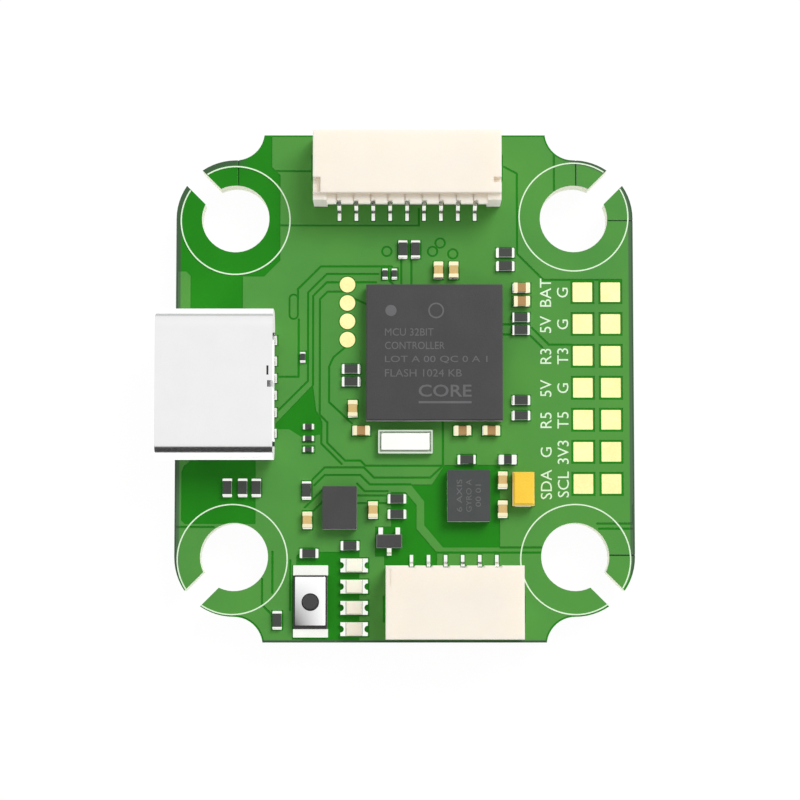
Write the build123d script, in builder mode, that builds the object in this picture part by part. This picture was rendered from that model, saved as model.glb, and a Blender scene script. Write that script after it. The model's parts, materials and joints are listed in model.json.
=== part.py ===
"""A soft-mounted flight controller board for a small multirotor, in millimetres.

Frame: the origin is the centre of the square of four mounting holes, on the laminate's underside.
+Z points out of the component side, +Y to the nine-way connector and +X to the two columns of solder pads,
so the USB receptacle overhangs the -X edge. Parts that sit on the board are drawn with their own z = 0 at
the laminate's surface and are then placed on the top face or, turned over, on the underside.
"""

import math
import os

from build123d import *

os.makedirs("parts", exist_ok=True)

# ---------------------------------------------------------------- driving dimensions
BOARD_WIDTH = 27.0
BOARD_LENGTH = 30.0
BOARD_THICKNESS = 1.6
COPPER = 0.04  # copper foil with its lacquer, on each face
HOLE_SPACING = 20.0
HOLE_RADIUS = 2.0
EAR_RADIUS = 3.5  # outer radius of the C-shaped ear round each hole
EAR_NOTCH_RADIUS = 1.7  # hollow curve between an ear and the board's short edges
EAR_SLOT_WIDTH = 1.3  # diagonal slot that lets a rubber grommet be pushed in
COPPER_PULLBACK = 0.1  # foil stops this far from the board's outer edge
SCREW_CLEARANCE = 0.4  # bare ring round each hole on the underside, where grommets and screw heads bear
GAP = 0.13  # width of the etched gaps between copper areas

SHELL_LENGTH = 6.84  # USB receptacle
SHELL_WIDTH = 8.76
SHELL_HEIGHT = 3.26
SHELL_RADIUS = 1.16
SHELL_WALL = 0.25
SHELL_OVERHANG = 0.98
SHELL_FRONT = -BOARD_WIDTH / 2 - SHELL_OVERHANG
SHELL_BACK = SHELL_FRONT + SHELL_LENGTH
SHELL_FLOOR = 0.05  # stand-off of the shell from the laminate
STAKE_THICKNESS = 0.15
STAKE_LENGTH = 1.1
STAKE_X = (SHELL_FRONT + 2.9, SHELL_BACK - 0.9)
STAKE_Y = SHELL_WIDTH / 2 - SHELL_WALL + STAKE_THICKNESS / 2  # flush with the inside of the shell's walls
USB_TAIL_Y = (0.5, 1.52, 2.75)  # distances of the solder tails from the receptacle's centre line

CONNECTOR_PITCH = 1.0
CONNECTOR_FULL_ROOF = 4.17  # depth of the six-way's roof, which covers its contacts
END_BLOCK_REACH = 4.03
MATING_LEAD = 0.08  # the mating face stands this far in front of the row's datum
CONNECTOR_HEIGHT = 2.95
CONNECTOR_INSET = 0.25  # mating face behind the board's edge
NINE_WAY_X = 0.15
SIX_WAY_X = 2.9

PROCESSOR_CENTRE = (1.75, 1.95)
PROCESSOR_SIZE = 8.0
BALL_PITCH = 0.8
BALL_RADIUS = 0.2
BALL_HEIGHT = 0.25
SUBSTRATE_HEIGHT = 0.2
MOULD_HEIGHT = 0.7

MOTION_SENSOR_CENTRE = (3.75, -6.45)
MOTION_SENSOR_SIZE = (2.5, 3.0, 0.83)
BAROMETER_CENTRE = (-3.8, -7.15)
BAROMETER_SIZE = (2.0, 2.5, 0.95)
CRYSTAL_CENTRE = (0.05, -3.26)
CRYSTAL_SIZE = (3.2, 1.37, 0.5)
TANTALUM_CENTRE = (6.95, -6.05)
TANTALUM_SIZE = (1.3, 2.0, 1.2)
TRANSISTOR_CENTRE = (-0.9, -9.1)
TRANSISTOR_SIZE = (1.5, 0.8, 0.7)

LED_X = -2.95
LED_FIRST_Y = -10.5
LED_PITCH = 1.24
LED_COUNT = 4

BUTTON_CENTRE = (-5.5, -12.65)
BUTTON_SIZE = (1.95, 3.13, 0.55)
COVER_SIZE = (1.78, 2.84)
COVER_OFFSET = 0.05  # the cover and terminals sit this far up the housing, which leaves a wider lip at one end
PLUNGER_RADIUS = 0.45
PLUNGER_CLEARANCE = 0.04
PLUNGER_TRAVEL = 0.2

PAD_SIZE = 1.15
PAD_COLUMNS = (10.5, 12.15)
PAD_FIRST_Y = 5.62
PAD_PITCH = 1.89
PAD_ROWS = 7
TEST_PAD_X = -3.37
TEST_PAD_FIRST_Y = 6.07
TEST_PAD_PITCH = 1.09
TEST_PAD_RADIUS = 0.46

# Chip parts, as (x, y, turn). A part that isn't turned lies along X.
ALONG, ACROSS = 0, 90
RESISTOR_PLACES = [
    (-0.10, 8.15, ACROSS),
    (0.65, 8.15, ACROSS),
    (-10.40, -5.95, ACROSS),
    (-9.50, -5.95, ACROSS),
    (-8.70, -5.95, ACROSS),
    (-5.75, -6.10, ACROSS),
    (-7.45, -13.70, ACROSS),
    (5.95, 7.95, ALONG),
    (5.95, 7.15, ALONG),
    (6.85, 4.10, ALONG),
    (6.85, 3.35, ALONG),
    (6.85, -0.80, ALONG),
    (6.85, -1.70, ALONG),
    (-3.15, 1.05, ALONG),
    (-3.15, 0.30, ALONG),
    (-0.45, -6.60, ALONG),
    (-0.45, -7.50, ALONG),
    (-3.20, -9.35, ALONG),
    (-5.60, -9.80, ALONG),
    (3.65, -4.30, ALONG),
]
SMALL_RESISTOR_PLACES = [
    (-1.15, 6.70, ACROSS),
    (-0.60, 6.70, ACROSS),
    (-6.00, 1.75, ACROSS),
    (-5.65, -2.35, ALONG),
    (-5.65, -3.05, ALONG),
    (-5.65, -3.70, ALONG),
]
CAPACITOR_PLACES = [
    (2.00, 6.90, ACROSS),
    (2.90, 6.90, ACROSS),
    (-3.05, -1.30, ACROSS),
    (-5.70, -7.85, ACROSS),
    (-1.85, -7.25, ACROSS),
    (5.75, -5.50, ACROSS),
    (5.75, -7.20, ACROSS),
    (6.90, 5.85, ALONG),
    (6.90, 5.05, ALONG),
    (-2.55, -2.60, ALONG),
    (3.40, -2.60, ALONG),
    (5.10, -2.60, ALONG),
]
BEAD_PLACES = [(6.05, -4.30, ALONG)]

# Underside: two step-down converters, their coils and bulk capacitors, a linear regulator and the log memory.
COIL_PLACES = [(-6.2, 4.6, ALONG), (-6.2, -4.6, ALONG)]
BUCK_PLACES = [(-2.4, 4.6, ACROSS), (-2.4, -4.6, ACROSS)]
BULK_PLACES = [(8.4, 4.4, ACROSS), (8.4, -4.4, ACROSS)]
LINEAR_PLACES = [(4.6, -4.4, ACROSS)]
MEMORY_CENTRE = (3.4, 3.4)
UNDER_CAPACITOR_PLACES = [(x, y, ACROSS) for x in (-4.25, -0.3) for y in (3.2, 6.0, -3.2, -6.0)]
UNDER_RESISTOR_PLACES = [(-0.6 + 1.2 * i, 0.0, ACROSS) for i in range(6)]

# Etched gaps in the top copper: each is a run of straight cuts. They draw the traces and the copper areas.
TOP_GAPS = [
    [(-7.6, 12.85), (-5.4, 12.85)],
    [(-7.35, 9.6), (0.85, 9.6), (0.85, 10.6)],
    [(5.9, 13.1), (6.65, 12.7), (6.65, 7.9), (8.2, 6.35), (12.8, 6.35)],
    [(8.85, 13.9), (8.85, 11.7)],
    [(-0.75, 7.15), (-4.95, 7.15), (-6.3, 5.8), (-6.3, 5.2)],
    [(-6.25, 4.0), (-6.25, 0.6), (-7.5, 0.6)],
    [(-1.55, 6.7), (-4.6, 6.7), (-5.7, 5.6), (-5.7, 0.35), (-7.5, -1.45)],
    [(-1.7, 6.2), (-4.6, 6.2), (-5.4, 5.4), (-5.4, 0.1)],
    [(-3.45, 5.65), (-4.55, 5.65), (-5.0, 5.2), (-5.0, -1.65), (-4.55, -2.1), (-4.55, -3.3)],
    [(-4.55, -3.3), (-3.5, -4.35), (-2.6, -4.35), (-2.3, -4.65), (2.25, -4.65), (2.25, -2.0)],
    [(-5.2, -1.5), (-4.9, -2.1), (-4.9, -3.35), (-3.7, -4.55)],
    [(-3.5, 2.35), (-4.2, 1.75), (-4.45, 1.2), (-4.45, -0.9), (-3.1, -2.15)],
    [(-13.6, -8.25), (-11.2, -8.25)],
    [(-5.4, -5.45), (-4.7, -4.75), (-2.4, -4.75), (-1.8, -5.35), (1.5, -5.35), (2.25, -4.65)],
    [(-5.3, -5.8), (-4.7, -5.2), (-2.6, -5.2), (-2.05, -5.75), (0.35, -5.75)],
    [(-5.85, -7.1), (-4.8, -6.05)],
    [(-5.45, -7.4), (-4.8, -6.75)],
    [(-2.8, -5.7), (-2.35, -6.15), (-1.0, -6.15)],
    [(-2.8, -6.4), (-1.0, -6.4)],
    [(-2.8, -6.85), (-1.0, -6.85)],
    [(5.6, -9.45), (8.1, -9.45)],
    [(1.75, -9.75), (8.2, -9.75)],
    [(-6.7, -10.2), (-6.7, -13.1)],
    [(-8.35, -11.3), (-8.35, -12.8), (-7.6, -13.55)],
    [(-7.75, -9.7), (-7.75, -12.1)],
    [(11.4, -8.35), (13.6, -8.35)],
    [(11.3, -8.05), (13.4, -8.05), (13.4, -7.0)],
    [(5.7, 3.7), (6.4, 3.7)],
    [(5.7, 3.1), (7.35, 3.1), (8.15, 2.3)],
    [(7.5, 3.5), (8.5, 2.5), (9.85, 2.5)],
    [(-2.9, 5.2), (-2.2, 4.9)],
    [(-0.2, 7.6), (-0.2, 5.8)],
    [(0.4, 7.6), (0.4, 5.8)],
    [(-0.95, 6.35), (-0.6, 6.0)],
]
# Hairline scores across the ears, cut a little way into the laminate too.
EAR_SCORES = [
    ((-9.85, 13.8), (-9.85, 11.8)),
    ((10.15, 13.8), (10.15, 11.8)),
    ((11.8, 9.9), (13.8, 9.9)),
    ((11.8, -9.9), (13.8, -9.9)),
]
SCORE_WIDTH = 0.09
SCORE_DEPTH = 0.12
# Areas with no copper at all.
BARE_TOP_LEFT = [
    (-9.0, 15.2), (-7.85, 15.2), (-7.85, 13.1), (-7.35, 12.6), (-7.35, 7.5), (-8.3, 6.55), (-9.55, 6.55),
    (-9.55, 4.2), (-12.65, 4.2), (-12.65, 6.6), (-12.9, 6.85), (-14.0, 6.85), (-14.0, 15.2),
]
BARE_BELOW_USB = [
    (-13.12, -5.0), (-12.98, -4.65), (-12.7, -4.45), (-12.4, -3.9), (-8.75, -3.9), (-8.75, -8.07), (-12.9, -8.07),
    (-13.12, -7.85),
]
BARE_USB_DELTA = [
    (-5.4, 0.15), (-7.6, -2.15), (-7.6, -2.5), (-6.8, -2.5), (-6.0, -3.0), (-4.9, -2.8), (-4.9, -1.9),
    (-5.2, -1.4),
]
BARE_BUTTON = [(-6.35, -9.95), (-6.1, -9.7), (-2.65, -9.7), (-2.65, -14.9), (-5.9, -14.9), (-6.35, -14.45)]
BARE_MOTION_SENSOR = [
    (2.35, -4.6), (5.6, -4.6), (5.6, -9.45), (2.25, -9.45), (1.15, -8.15), (1.15, -6.75), (0.35, -5.75),
    (1.6, -5.75),
]
BARE_TRANSISTOR = [
    (-0.8, -6.2), (0.05, -6.2), (0.7, -6.95), (0.7, -8.35), (1.9, -9.75), (1.9, -10.5), (-1.2, -10.5),
    (-1.2, -9.5), (-0.8, -9.5),
]
BARE_AREAS = [BARE_TOP_LEFT, BARE_BELOW_USB, BARE_USB_DELTA, BARE_BUTTON, BARE_MOTION_SENSOR, BARE_TRANSISTOR]
VIA_PLACES = [(-1.05, 8.05), (1.65, 8.05), (2.1, 8.55), (2.85, 7.9)]
LONG_VIA_CENTRE = (-6.55, 4.75)
LONG_VIA_LENGTH = 1.56

BOTTOM_GAPS = [
    [(-9.0, 14.0), (-9.0, 12.4), (-6.0, 9.4), (6.0, 9.4), (9.0, 12.4), (9.0, 14.0)],
    [(-9.0, -14.0), (-9.0, -12.4), (-6.0, -9.4), (6.0, -9.4), (9.0, -12.4), (9.0, -14.0)],
    [(-13.6, 1.0), (-4.6, 1.0), (-3.6, 2.0), (-3.6, 2.6)],
    [(-13.6, -1.0), (-4.6, -1.0), (-3.6, -2.0), (-3.6, -2.6)],
    [(6.3, 1.2), (7.0, 1.9), (12.0, 1.9)],
    [(6.3, -1.2), (7.0, -1.9), (12.0, -1.9)],
]

# ---------------------------------------------------------------- helpers


def save(node, label):
    """Labels a finished piece and writes it as one STEP file."""
    node.part.label = label
    export_step(node.part, f"parts/{label}.step")


def on_top(places):
    """Locations on the component side, for parts drawn with z = 0 at the laminate's surface."""
    return [Location((x, y, BOARD_THICKNESS), (0, 0, turn)) for x, y, turn in places]


def underneath(places):
    """Locations on the underside: turned over about X, with z = 0 still at the laminate's surface."""
    return [Location((x, y, 0), (180, 0, turn)) for x, y, turn in places]


def top_plane(centre):
    """The workplane of a part that stands at one centre on the component side."""
    return Plane(origin=(centre[0], centre[1], BOARD_THICKNESS))


def copies(piece, places, label):
    """One node with a separate copy of a piece at every place."""
    with BuildPart() as group:
        with Locations(*places):
            add(piece.part)
    save(group, label)


def upper_edges(part, height):
    """The edges that lie wholly at one height of a part drawn upright at the origin."""
    return part.edges().filter_by_position(Axis.Z, height - 1e-4, height + 1e-4)


def cut_gap(points, width):
    """Etches one gap: a round-ended cut along each straight run, in the open sketch."""
    for start, end in zip(points, points[1:]):
        run = Vector(*end) - Vector(*start)
        middle = ((start[0] + end[0]) / 2, (start[1] + end[1]) / 2)
        with Locations(middle):
            SlotCenterToCenter(
                run.length, width, rotation=math.degrees(math.atan2(run.Y, run.X)), mode=Mode.SUBTRACT
            )


def cut_anchor_windows(ways, centre_x, facing):
    """Clears the copper under the solder anchors at both ends of a wire connector."""
    half_row = (CONNECTOR_PITCH * (ways - 1) + 3.0) / 2
    anchor_y = facing * (BOARD_LENGTH / 2 - CONNECTOR_INSET - 1.7)
    cut_windows([(centre_x + side * (half_row - 0.1), anchor_y, ALONG) for side in (-1, 1)], 0.3, 1.3)


def cut_tail_windows(ways, centre_x, facing):
    """Clears the copper under the feet of a wire connector's contacts."""
    foot_y = facing * (BOARD_LENGTH / 2 - CONNECTOR_INSET - 4.55)
    first_x = centre_x - CONNECTOR_PITCH * (ways - 1) / 2
    cut_windows([(first_x + CONNECTOR_PITCH * i, foot_y, ALONG) for i in range(ways)], 0.05, 0.5)


def score(ends, mode):
    """One straight hairline, drawn into the open sketch or taken out of it."""
    (x0, y0), (x1, y1) = ends
    with Locations(((x0 + x1) / 2, (y0 + y1) / 2)):
        Rectangle(abs(x1 - x0) + SCORE_WIDTH, abs(y1 - y0) + SCORE_WIDTH, mode=mode)


def cut_windows(places, length, width):
    """Clears the copper round the footprint of each chip part."""
    for x, y, turn in places:
        with Locations((x, y)):
            Rectangle(length + 2 * GAP, width + 2 * GAP, rotation=turn, mode=Mode.SUBTRACT)


# ---------------------------------------------------------------- the board
def board_face(inset, hole_clearance=0.0):
    """The board's outline with its ears. The foil's is drawn smaller by `inset`, and clear of the screws."""
    half_width, half_length, hole = BOARD_WIDTH / 2, BOARD_LENGTH / 2, HOLE_SPACING / 2
    ear, notch = EAR_RADIUS - inset, EAR_NOTCH_RADIUS + inset
    notch_y = hole + EAR_RADIUS + EAR_NOTCH_RADIUS
    notch_reach = math.sqrt(notch**2 - (notch_y - half_length + inset) ** 2)
    slot_reach = EAR_RADIUS + 1.0
    with BuildSketch() as face:
        with BuildLine():  # one quarter, mirrored twice
            Line((half_width - inset, 0), (half_width - inset, hole))
            CenterArc((hole, hole), ear, 0, 90)
            RadiusArc((hole, hole + ear), (hole - notch_reach, half_length - inset), notch)
            Line((hole - notch_reach, half_length - inset), (0, half_length - inset))
            mirror(about=Plane.YZ)
            mirror(about=Plane.XZ)
        make_face()
        with GridLocations(HOLE_SPACING, HOLE_SPACING, 2, 2):
            Circle(HOLE_RADIUS + hole_clearance, mode=Mode.SUBTRACT)
        middle = hole + slot_reach / 2 / math.sqrt(2)
        for across in (-1, 1):
            for along in (-1, 1):
                with Locations((across * middle, along * middle)):
                    Rectangle(
                        slot_reach,
                        EAR_SLOT_WIDTH,
                        rotation=across * along * 45,
                        mode=Mode.SUBTRACT,
                    )
    return face.sketch_local


def stake_slots(clearance):
    """Cuts for the USB shell's four stakes."""
    with Locations(*[(x, side * STAKE_Y) for x in STAKE_X for side in (-1, 1)]):
        SlotOverall(STAKE_LENGTH + 2 * clearance, STAKE_THICKNESS + 2 * clearance, mode=Mode.SUBTRACT)


with BuildPart() as circuit_board:
    with BuildSketch():
        add(board_face(0))
        stake_slots(0.04)
    extrude(amount=BOARD_THICKNESS)
    with BuildSketch(Plane.XY.offset(BOARD_THICKNESS)):
        for start, end in EAR_SCORES:
            score((start, end), Mode.ADD)
    extrude(amount=-SCORE_DEPTH, mode=Mode.SUBTRACT)
save(circuit_board, "circuit_board")

pad_rows = [PAD_FIRST_Y - PAD_PITCH * row for row in range(PAD_ROWS)]
pad_places = [(x, y, ALONG) for x in PAD_COLUMNS for y in pad_rows]
test_places = [(TEST_PAD_X, TEST_PAD_FIRST_Y - TEST_PAD_PITCH * i, ALONG) for i in range(4)]
led_places = [(LED_X, LED_FIRST_Y - LED_PITCH * i, ALONG) for i in range(LED_COUNT)]

with BuildPart() as top_copper:
    with BuildSketch(Plane.XY.offset(BOARD_THICKNESS)):
        add(board_face(COPPER_PULLBACK))
        stake_slots(0.06)
        for area in BARE_AREAS:
            with BuildLine():
                Polyline(*area, close=True)
            make_face(mode=Mode.SUBTRACT)
        for gap in TOP_GAPS:
            cut_gap(gap, GAP)
        for start, end in EAR_SCORES:
            score((start, end), Mode.SUBTRACT)
        with Locations(*VIA_PLACES):
            Circle(0.34, mode=Mode.SUBTRACT)
        with Locations(LONG_VIA_CENTRE):
            SlotOverall(LONG_VIA_LENGTH, 0.6, rotation=90, mode=Mode.SUBTRACT)
        cut_windows(pad_places, PAD_SIZE, PAD_SIZE)
        with Locations(*[(x, y) for x, y, _ in test_places]):
            Circle(TEST_PAD_RADIUS + GAP / 2, mode=Mode.SUBTRACT)
        chip_margin = GAP / 2
        cut_windows(RESISTOR_PLACES + CAPACITOR_PLACES + BEAD_PLACES, 1.0 - chip_margin, 0.5 - chip_margin)
        cut_windows(SMALL_RESISTOR_PLACES, 0.6 - chip_margin, 0.3 - chip_margin)
        cut_windows(led_places, 1.5, 0.7)
        cut_windows([(*PROCESSOR_CENTRE, ALONG)], PROCESSOR_SIZE - 0.8, PROCESSOR_SIZE - 0.8)
        cut_windows([(*MOTION_SENSOR_CENTRE, ALONG)], 2.2, 2.7)
        cut_windows([(*BAROMETER_CENTRE, ALONG)], 1.7, 2.2)
        cut_windows([(*CRYSTAL_CENTRE, ALONG)], 2.9, 1.15)
        cut_windows([(*TANTALUM_CENTRE, ALONG)], 1.1, 1.8)
        cut_windows([(*TRANSISTOR_CENTRE, ALONG)], 1.4, 1.5)
        cut_windows([(*BUTTON_CENTRE, ALONG)], 1.9, 4.1)
        cut_tail_windows(9, NINE_WAY_X, +1)
        cut_tail_windows(6, SIX_WAY_X, -1)
        cut_anchor_windows(9, NINE_WAY_X, +1)
        cut_anchor_windows(6, SIX_WAY_X, -1)
        usb_tails = [(SHELL_BACK - 0.65, side * y, ALONG) for y in USB_TAIL_Y for side in (-1, 1)]
        cut_windows(usb_tails, 1.45, 0.4)
    extrude(amount=COPPER)
    # The lands left standing inside the annular gaps of the vias.
    with BuildSketch(Plane.XY.offset(BOARD_THICKNESS)):
        with Locations(*VIA_PLACES):
            Circle(0.22)
        with Locations(LONG_VIA_CENTRE):
            SlotOverall(LONG_VIA_LENGTH - 0.22, 0.38, rotation=90)
    extrude(amount=COPPER)
save(top_copper, "top_copper")

with BuildPart() as bottom_copper:
    with BuildSketch(Plane.XY.offset(-COPPER)):
        add(board_face(COPPER_PULLBACK, SCREW_CLEARANCE))
        stake_slots(0.4)
        for gap in BOTTOM_GAPS:
            cut_gap(gap, GAP)
        cut_windows(COIL_PLACES, 2.8, 2.8)
        cut_windows(BUCK_PLACES + LINEAR_PLACES, 2.9, 2.7)
        cut_windows(BULK_PLACES, 3.1, 1.5)
        cut_windows([(*MEMORY_CENTRE, ALONG)], 5.8, 4.8)
        cut_windows(UNDER_CAPACITOR_PLACES + UNDER_RESISTOR_PLACES, 0.95, 0.45)
    extrude(amount=COPPER)
save(bottom_copper, "bottom_copper")

with BuildPart() as square_pad:
    Box(PAD_SIZE, PAD_SIZE, COPPER, align=(Align.CENTER, Align.CENTER, Align.MIN))
    fillet(square_pad.edges().filter_by(Axis.Z), 0.05)
copies(square_pad, on_top(pad_places), "solder_pads")

with BuildPart() as round_pad:
    Cylinder(TEST_PAD_RADIUS, COPPER, align=(Align.CENTER, Align.CENTER, Align.MIN))
copies(round_pad, on_top(test_places), "test_pads")


# ---------------------------------------------------------------- chip parts with two ends
def two_ended(length, width, height, cap_length, places, body_label, cap_label):
    """A chip resistor, capacitor or bead: a body between two plated ends that wrap it and reach the board."""
    wrap = 0.015  # the plating stands this far proud of the body
    body_length = length - 2 * cap_length
    with BuildPart() as body:
        with Locations((0, 0, COPPER)):
            Box(body_length, width, height, align=(Align.CENTER, Align.CENTER, Align.MIN))
        top = body.faces().sort_by(Axis.Z)[-1]
        fillet(top.edges().filter_by(Axis.X), 0.03)
    with BuildPart() as cap:
        with Locations((body_length / 2, 0, 0)):
            Box(
                cap_length,
                width + 2 * wrap,
                COPPER + height + wrap,
                align=(Align.MIN, Align.CENTER, Align.MIN),
            )
        outer = cap.faces().sort_by(Axis.X)[-1]
        fillet(outer.edges(), min(0.05, cap_length / 3))
        mirror(about=Plane.YZ)
    copies(body, places, body_label)
    copies(cap, places, cap_label)


two_ended(1.04, 0.5, 0.33, 0.13, on_top(RESISTOR_PLACES), "resistor_bodies", "resistor_end_caps")
two_ended(
    0.6, 0.28, 0.22, 0.1, on_top(SMALL_RESISTOR_PLACES), "small_resistor_bodies", "small_resistor_end_caps"
)
two_ended(0.98, 0.52, 0.5, 0.25, on_top(CAPACITOR_PLACES), "capacitor_bodies", "capacitor_end_caps")
two_ended(1.04, 0.5, 0.45, 0.29, on_top(BEAD_PLACES), "ferrite_bead_body", "ferrite_bead_end_caps")
two_ended(3.2, 1.6, 1.16, 0.5, underneath(BULK_PLACES), "bulk_capacitors", "bulk_capacitor_end_caps")
two_ended(
    1.02, 0.52, 0.5, 0.26, underneath(UNDER_CAPACITOR_PLACES),
    "underside_capacitors", "underside_capacitor_end_caps",
)
two_ended(
    1.04, 0.5, 0.33, 0.2, underneath(UNDER_RESISTOR_PLACES),
    "underside_resistors", "underside_resistor_end_caps",
)


# ---------------------------------------------------------------- packages with leads
def gull_wing(body_edge, reach, exit_height, width, thickness=0.12):
    """One formed lead that leaves a body at y = body_edge and ends on the board at y = reach."""
    foot = (reach - body_edge) * 0.45
    knee = reach - foot
    with BuildPart() as lead:
        with BuildSketch(Plane.YZ.offset(-width / 2)):
            with BuildLine():
                Polyline(
                    (body_edge, exit_height),
                    (knee, exit_height),
                    (knee + thickness, exit_height - thickness / 2),
                    (knee + thickness, thickness),
                    (reach, thickness),
                    (reach, 0),
                    (knee, 0),
                    (knee, exit_height - thickness),
                    (body_edge, exit_height - thickness),
                    close=True,
                )
            make_face()
        extrude(amount=width)
    return lead


def moulded_body(length, width, height, lift, draft):
    """An epoxy body with sloping sides, widest at half its height, and softened top edges."""
    middle = lift + (height - lift) / 2
    with BuildPart() as body:
        for level, far in ((lift, middle), (height, middle)):
            with BuildSketch(Plane.XY.offset(level)):
                Rectangle(length - 2 * draft, width - 2 * draft)
            with BuildSketch(Plane.XY.offset(far)):
                Rectangle(length, width)
            loft()
        fillet(upper_edges(body.part, height), 0.03)
    return body


def leaded_package(size, reach, exit_height, lead_width, near_side, far_side, places, body_label, lead_label):
    """A small moulded package with gull-wing leads at the given x positions on its two long sides."""
    body = moulded_body(*size, lift=0.07, draft=0.05)
    lead = gull_wing(size[1] / 2, reach, exit_height, lead_width)
    with BuildPart() as leads:
        with Locations(
            *[Location((x, 0, 0)) for x in far_side],
            *[Location((x, 0, 0), (0, 0, 180)) for x in near_side],
        ):
            add(lead.part)
    copies(body, places, body_label)
    copies(leads, places, lead_label)


leaded_package(
    TRANSISTOR_SIZE, 0.82, 0.42, 0.26, (0.0,), (-0.5, 0.5), on_top([(*TRANSISTOR_CENTRE, ALONG)]),
    "transistor_body", "transistor_leads",
)
leaded_package(
    (2.9, 1.6, 1.0), 1.4, 0.55, 0.4, (-0.95, 0.0, 0.95), (-0.95, 0.0, 0.95), underneath(BUCK_PLACES),
    "buck_regulators", "buck_regulator_leads",
)
leaded_package(
    (2.9, 1.6, 1.1), 1.4, 0.6, 0.4, (-0.95, 0.0, 0.95), (-0.95, 0.95), underneath(LINEAR_PLACES),
    "linear_regulator", "linear_regulator_leads",
)


# ---------------------------------------------------------------- packages with lands underneath
def land_package(size, centre, places, land, along_x, along_y, body_label, land_label):
    """A leadless package: a softened block on rows of flat lands near its edges."""
    length, width, height = size
    land_length, land_width = land
    edge_x = length / 2 - land_length / 2
    edge_y = width / 2 - land_length / 2
    with BuildPart() as body:
        with Locations((0, 0, COPPER)):
            Box(length, width, height, align=(Align.CENTER, Align.CENTER, Align.MIN))
        fillet(body.edges().filter_by(Axis.Z), 0.04)
        fillet(upper_edges(body.part, COPPER + height), 0.03)
    with BuildPart() as lands:
        with BuildSketch():
            with Locations(*[(side * edge_x, y) for side in (-1, 1) for y in along_y]):
                Rectangle(land_length, land_width)
            if along_x:
                with Locations(*[(x, side * edge_y) for side in (-1, 1) for x in along_x]):
                    Rectangle(land_width, land_length)
        extrude(amount=COPPER)
    copies(body, places, body_label)
    copies(lands, places, land_label)


half_millimetre_rows = (-0.75, -0.25, 0.25, 0.75)
land_package(
    MOTION_SENSOR_SIZE, MOTION_SENSOR_CENTRE, on_top([(*MOTION_SENSOR_CENTRE, ALONG)]), (0.4, 0.25),
    (-0.5, 0.0, 0.5), half_millimetre_rows, "motion_sensor", "motion_sensor_lands",
)
land_package(
    BAROMETER_SIZE, BAROMETER_CENTRE, on_top([(*BAROMETER_CENTRE, ALONG)]), (0.4, 0.3),
    (), half_millimetre_rows, "barometer", "barometer_lands",
)
land_package(
    (6.0, 5.0, 0.75), MEMORY_CENTRE, underneath([(*MEMORY_CENTRE, ALONG)]), (0.6, 0.4),
    (), (-1.905, -0.635, 0.635, 1.905), "flash_memory", "flash_memory_lands",
)

# ---------------------------------------------------------------- processor: solder balls, substrate and mould
ball_rows = round(PROCESSOR_SIZE / BALL_PITCH)
with BuildPart() as ball:
    with Locations((0, 0, BALL_HEIGHT / 2)):
        Sphere(BALL_RADIUS)
    with Locations((0, 0, BALL_HEIGHT / 2)):
        Box(1, 1, BALL_HEIGHT, mode=Mode.INTERSECT)
ball_grid = [
    ((column - (ball_rows - 1) / 2) * BALL_PITCH, (row - (ball_rows - 1) / 2) * BALL_PITCH)
    for column in range(ball_rows)
    for row in range(ball_rows)
]
copies(
    ball,
    on_top([(PROCESSOR_CENTRE[0] + x, PROCESSOR_CENTRE[1] + y, ALONG) for x, y in ball_grid]),
    "processor_balls",
)

with BuildPart(top_plane(PROCESSOR_CENTRE).offset(BALL_HEIGHT)) as processor_substrate:
    Box(PROCESSOR_SIZE, PROCESSOR_SIZE, SUBSTRATE_HEIGHT, align=(Align.CENTER, Align.CENTER, Align.MIN))
save(processor_substrate, "processor_substrate")

with BuildPart(top_plane(PROCESSOR_CENTRE).offset(BALL_HEIGHT + SUBSTRATE_HEIGHT)) as processor_mould:
    Box(PROCESSOR_SIZE, PROCESSOR_SIZE, MOULD_HEIGHT, align=(Align.CENTER, Align.CENTER, Align.MIN))
    fillet(processor_mould.faces().sort_by(Axis.Z)[-1].edges(), 0.07)
save(processor_mould, "processor_mould")

# ---------------------------------------------------------------- crystal: ceramic tray and metal lid
crystal_length, crystal_width, crystal_height = CRYSTAL_SIZE
CRYSTAL_RIM = 0.09
CRYSTAL_RECESS = 0.25
LID_GAP = 0.09
LID_PROUD = 0.06
with BuildPart(top_plane(CRYSTAL_CENTRE).offset(COPPER)) as crystal_base:
    Box(crystal_length, crystal_width, crystal_height, align=(Align.CENTER, Align.CENTER, Align.MIN))
    fillet(crystal_base.edges().filter_by(Axis.Z), 0.06)
    with Locations((0, 0, crystal_height - CRYSTAL_RECESS)):
        Box(
            crystal_length - 2 * CRYSTAL_RIM,
            crystal_width - 2 * CRYSTAL_RIM,
            CRYSTAL_RECESS,
            align=(Align.CENTER, Align.CENTER, Align.MIN),
            mode=Mode.SUBTRACT,
        )
save(crystal_base, "crystal_base")

with BuildPart(top_plane(CRYSTAL_CENTRE).offset(COPPER + crystal_height - CRYSTAL_RECESS)) as crystal_lid:
    Box(
        crystal_length - 2 * CRYSTAL_RIM - 2 * LID_GAP,
        crystal_width - 2 * CRYSTAL_RIM - 2 * LID_GAP,
        CRYSTAL_RECESS + LID_PROUD,
        align=(Align.CENTER, Align.CENTER, Align.MIN),
    )
    fillet(crystal_lid.edges().filter_by(Axis.Z), 0.08)
    fillet(crystal_lid.faces().sort_by(Axis.Z)[-1].edges(), 0.04)
save(crystal_lid, "crystal_lid")

with BuildPart(top_plane(CRYSTAL_CENTRE)) as crystal_lands:
    with Locations((-crystal_length / 2 + 0.4, 0, 0), (crystal_length / 2 - 0.4, 0, 0)):
        Box(0.7, 1.2, COPPER, align=(Align.CENTER, Align.CENTER, Align.MIN))
save(crystal_lands, "crystal_lands")

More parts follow.
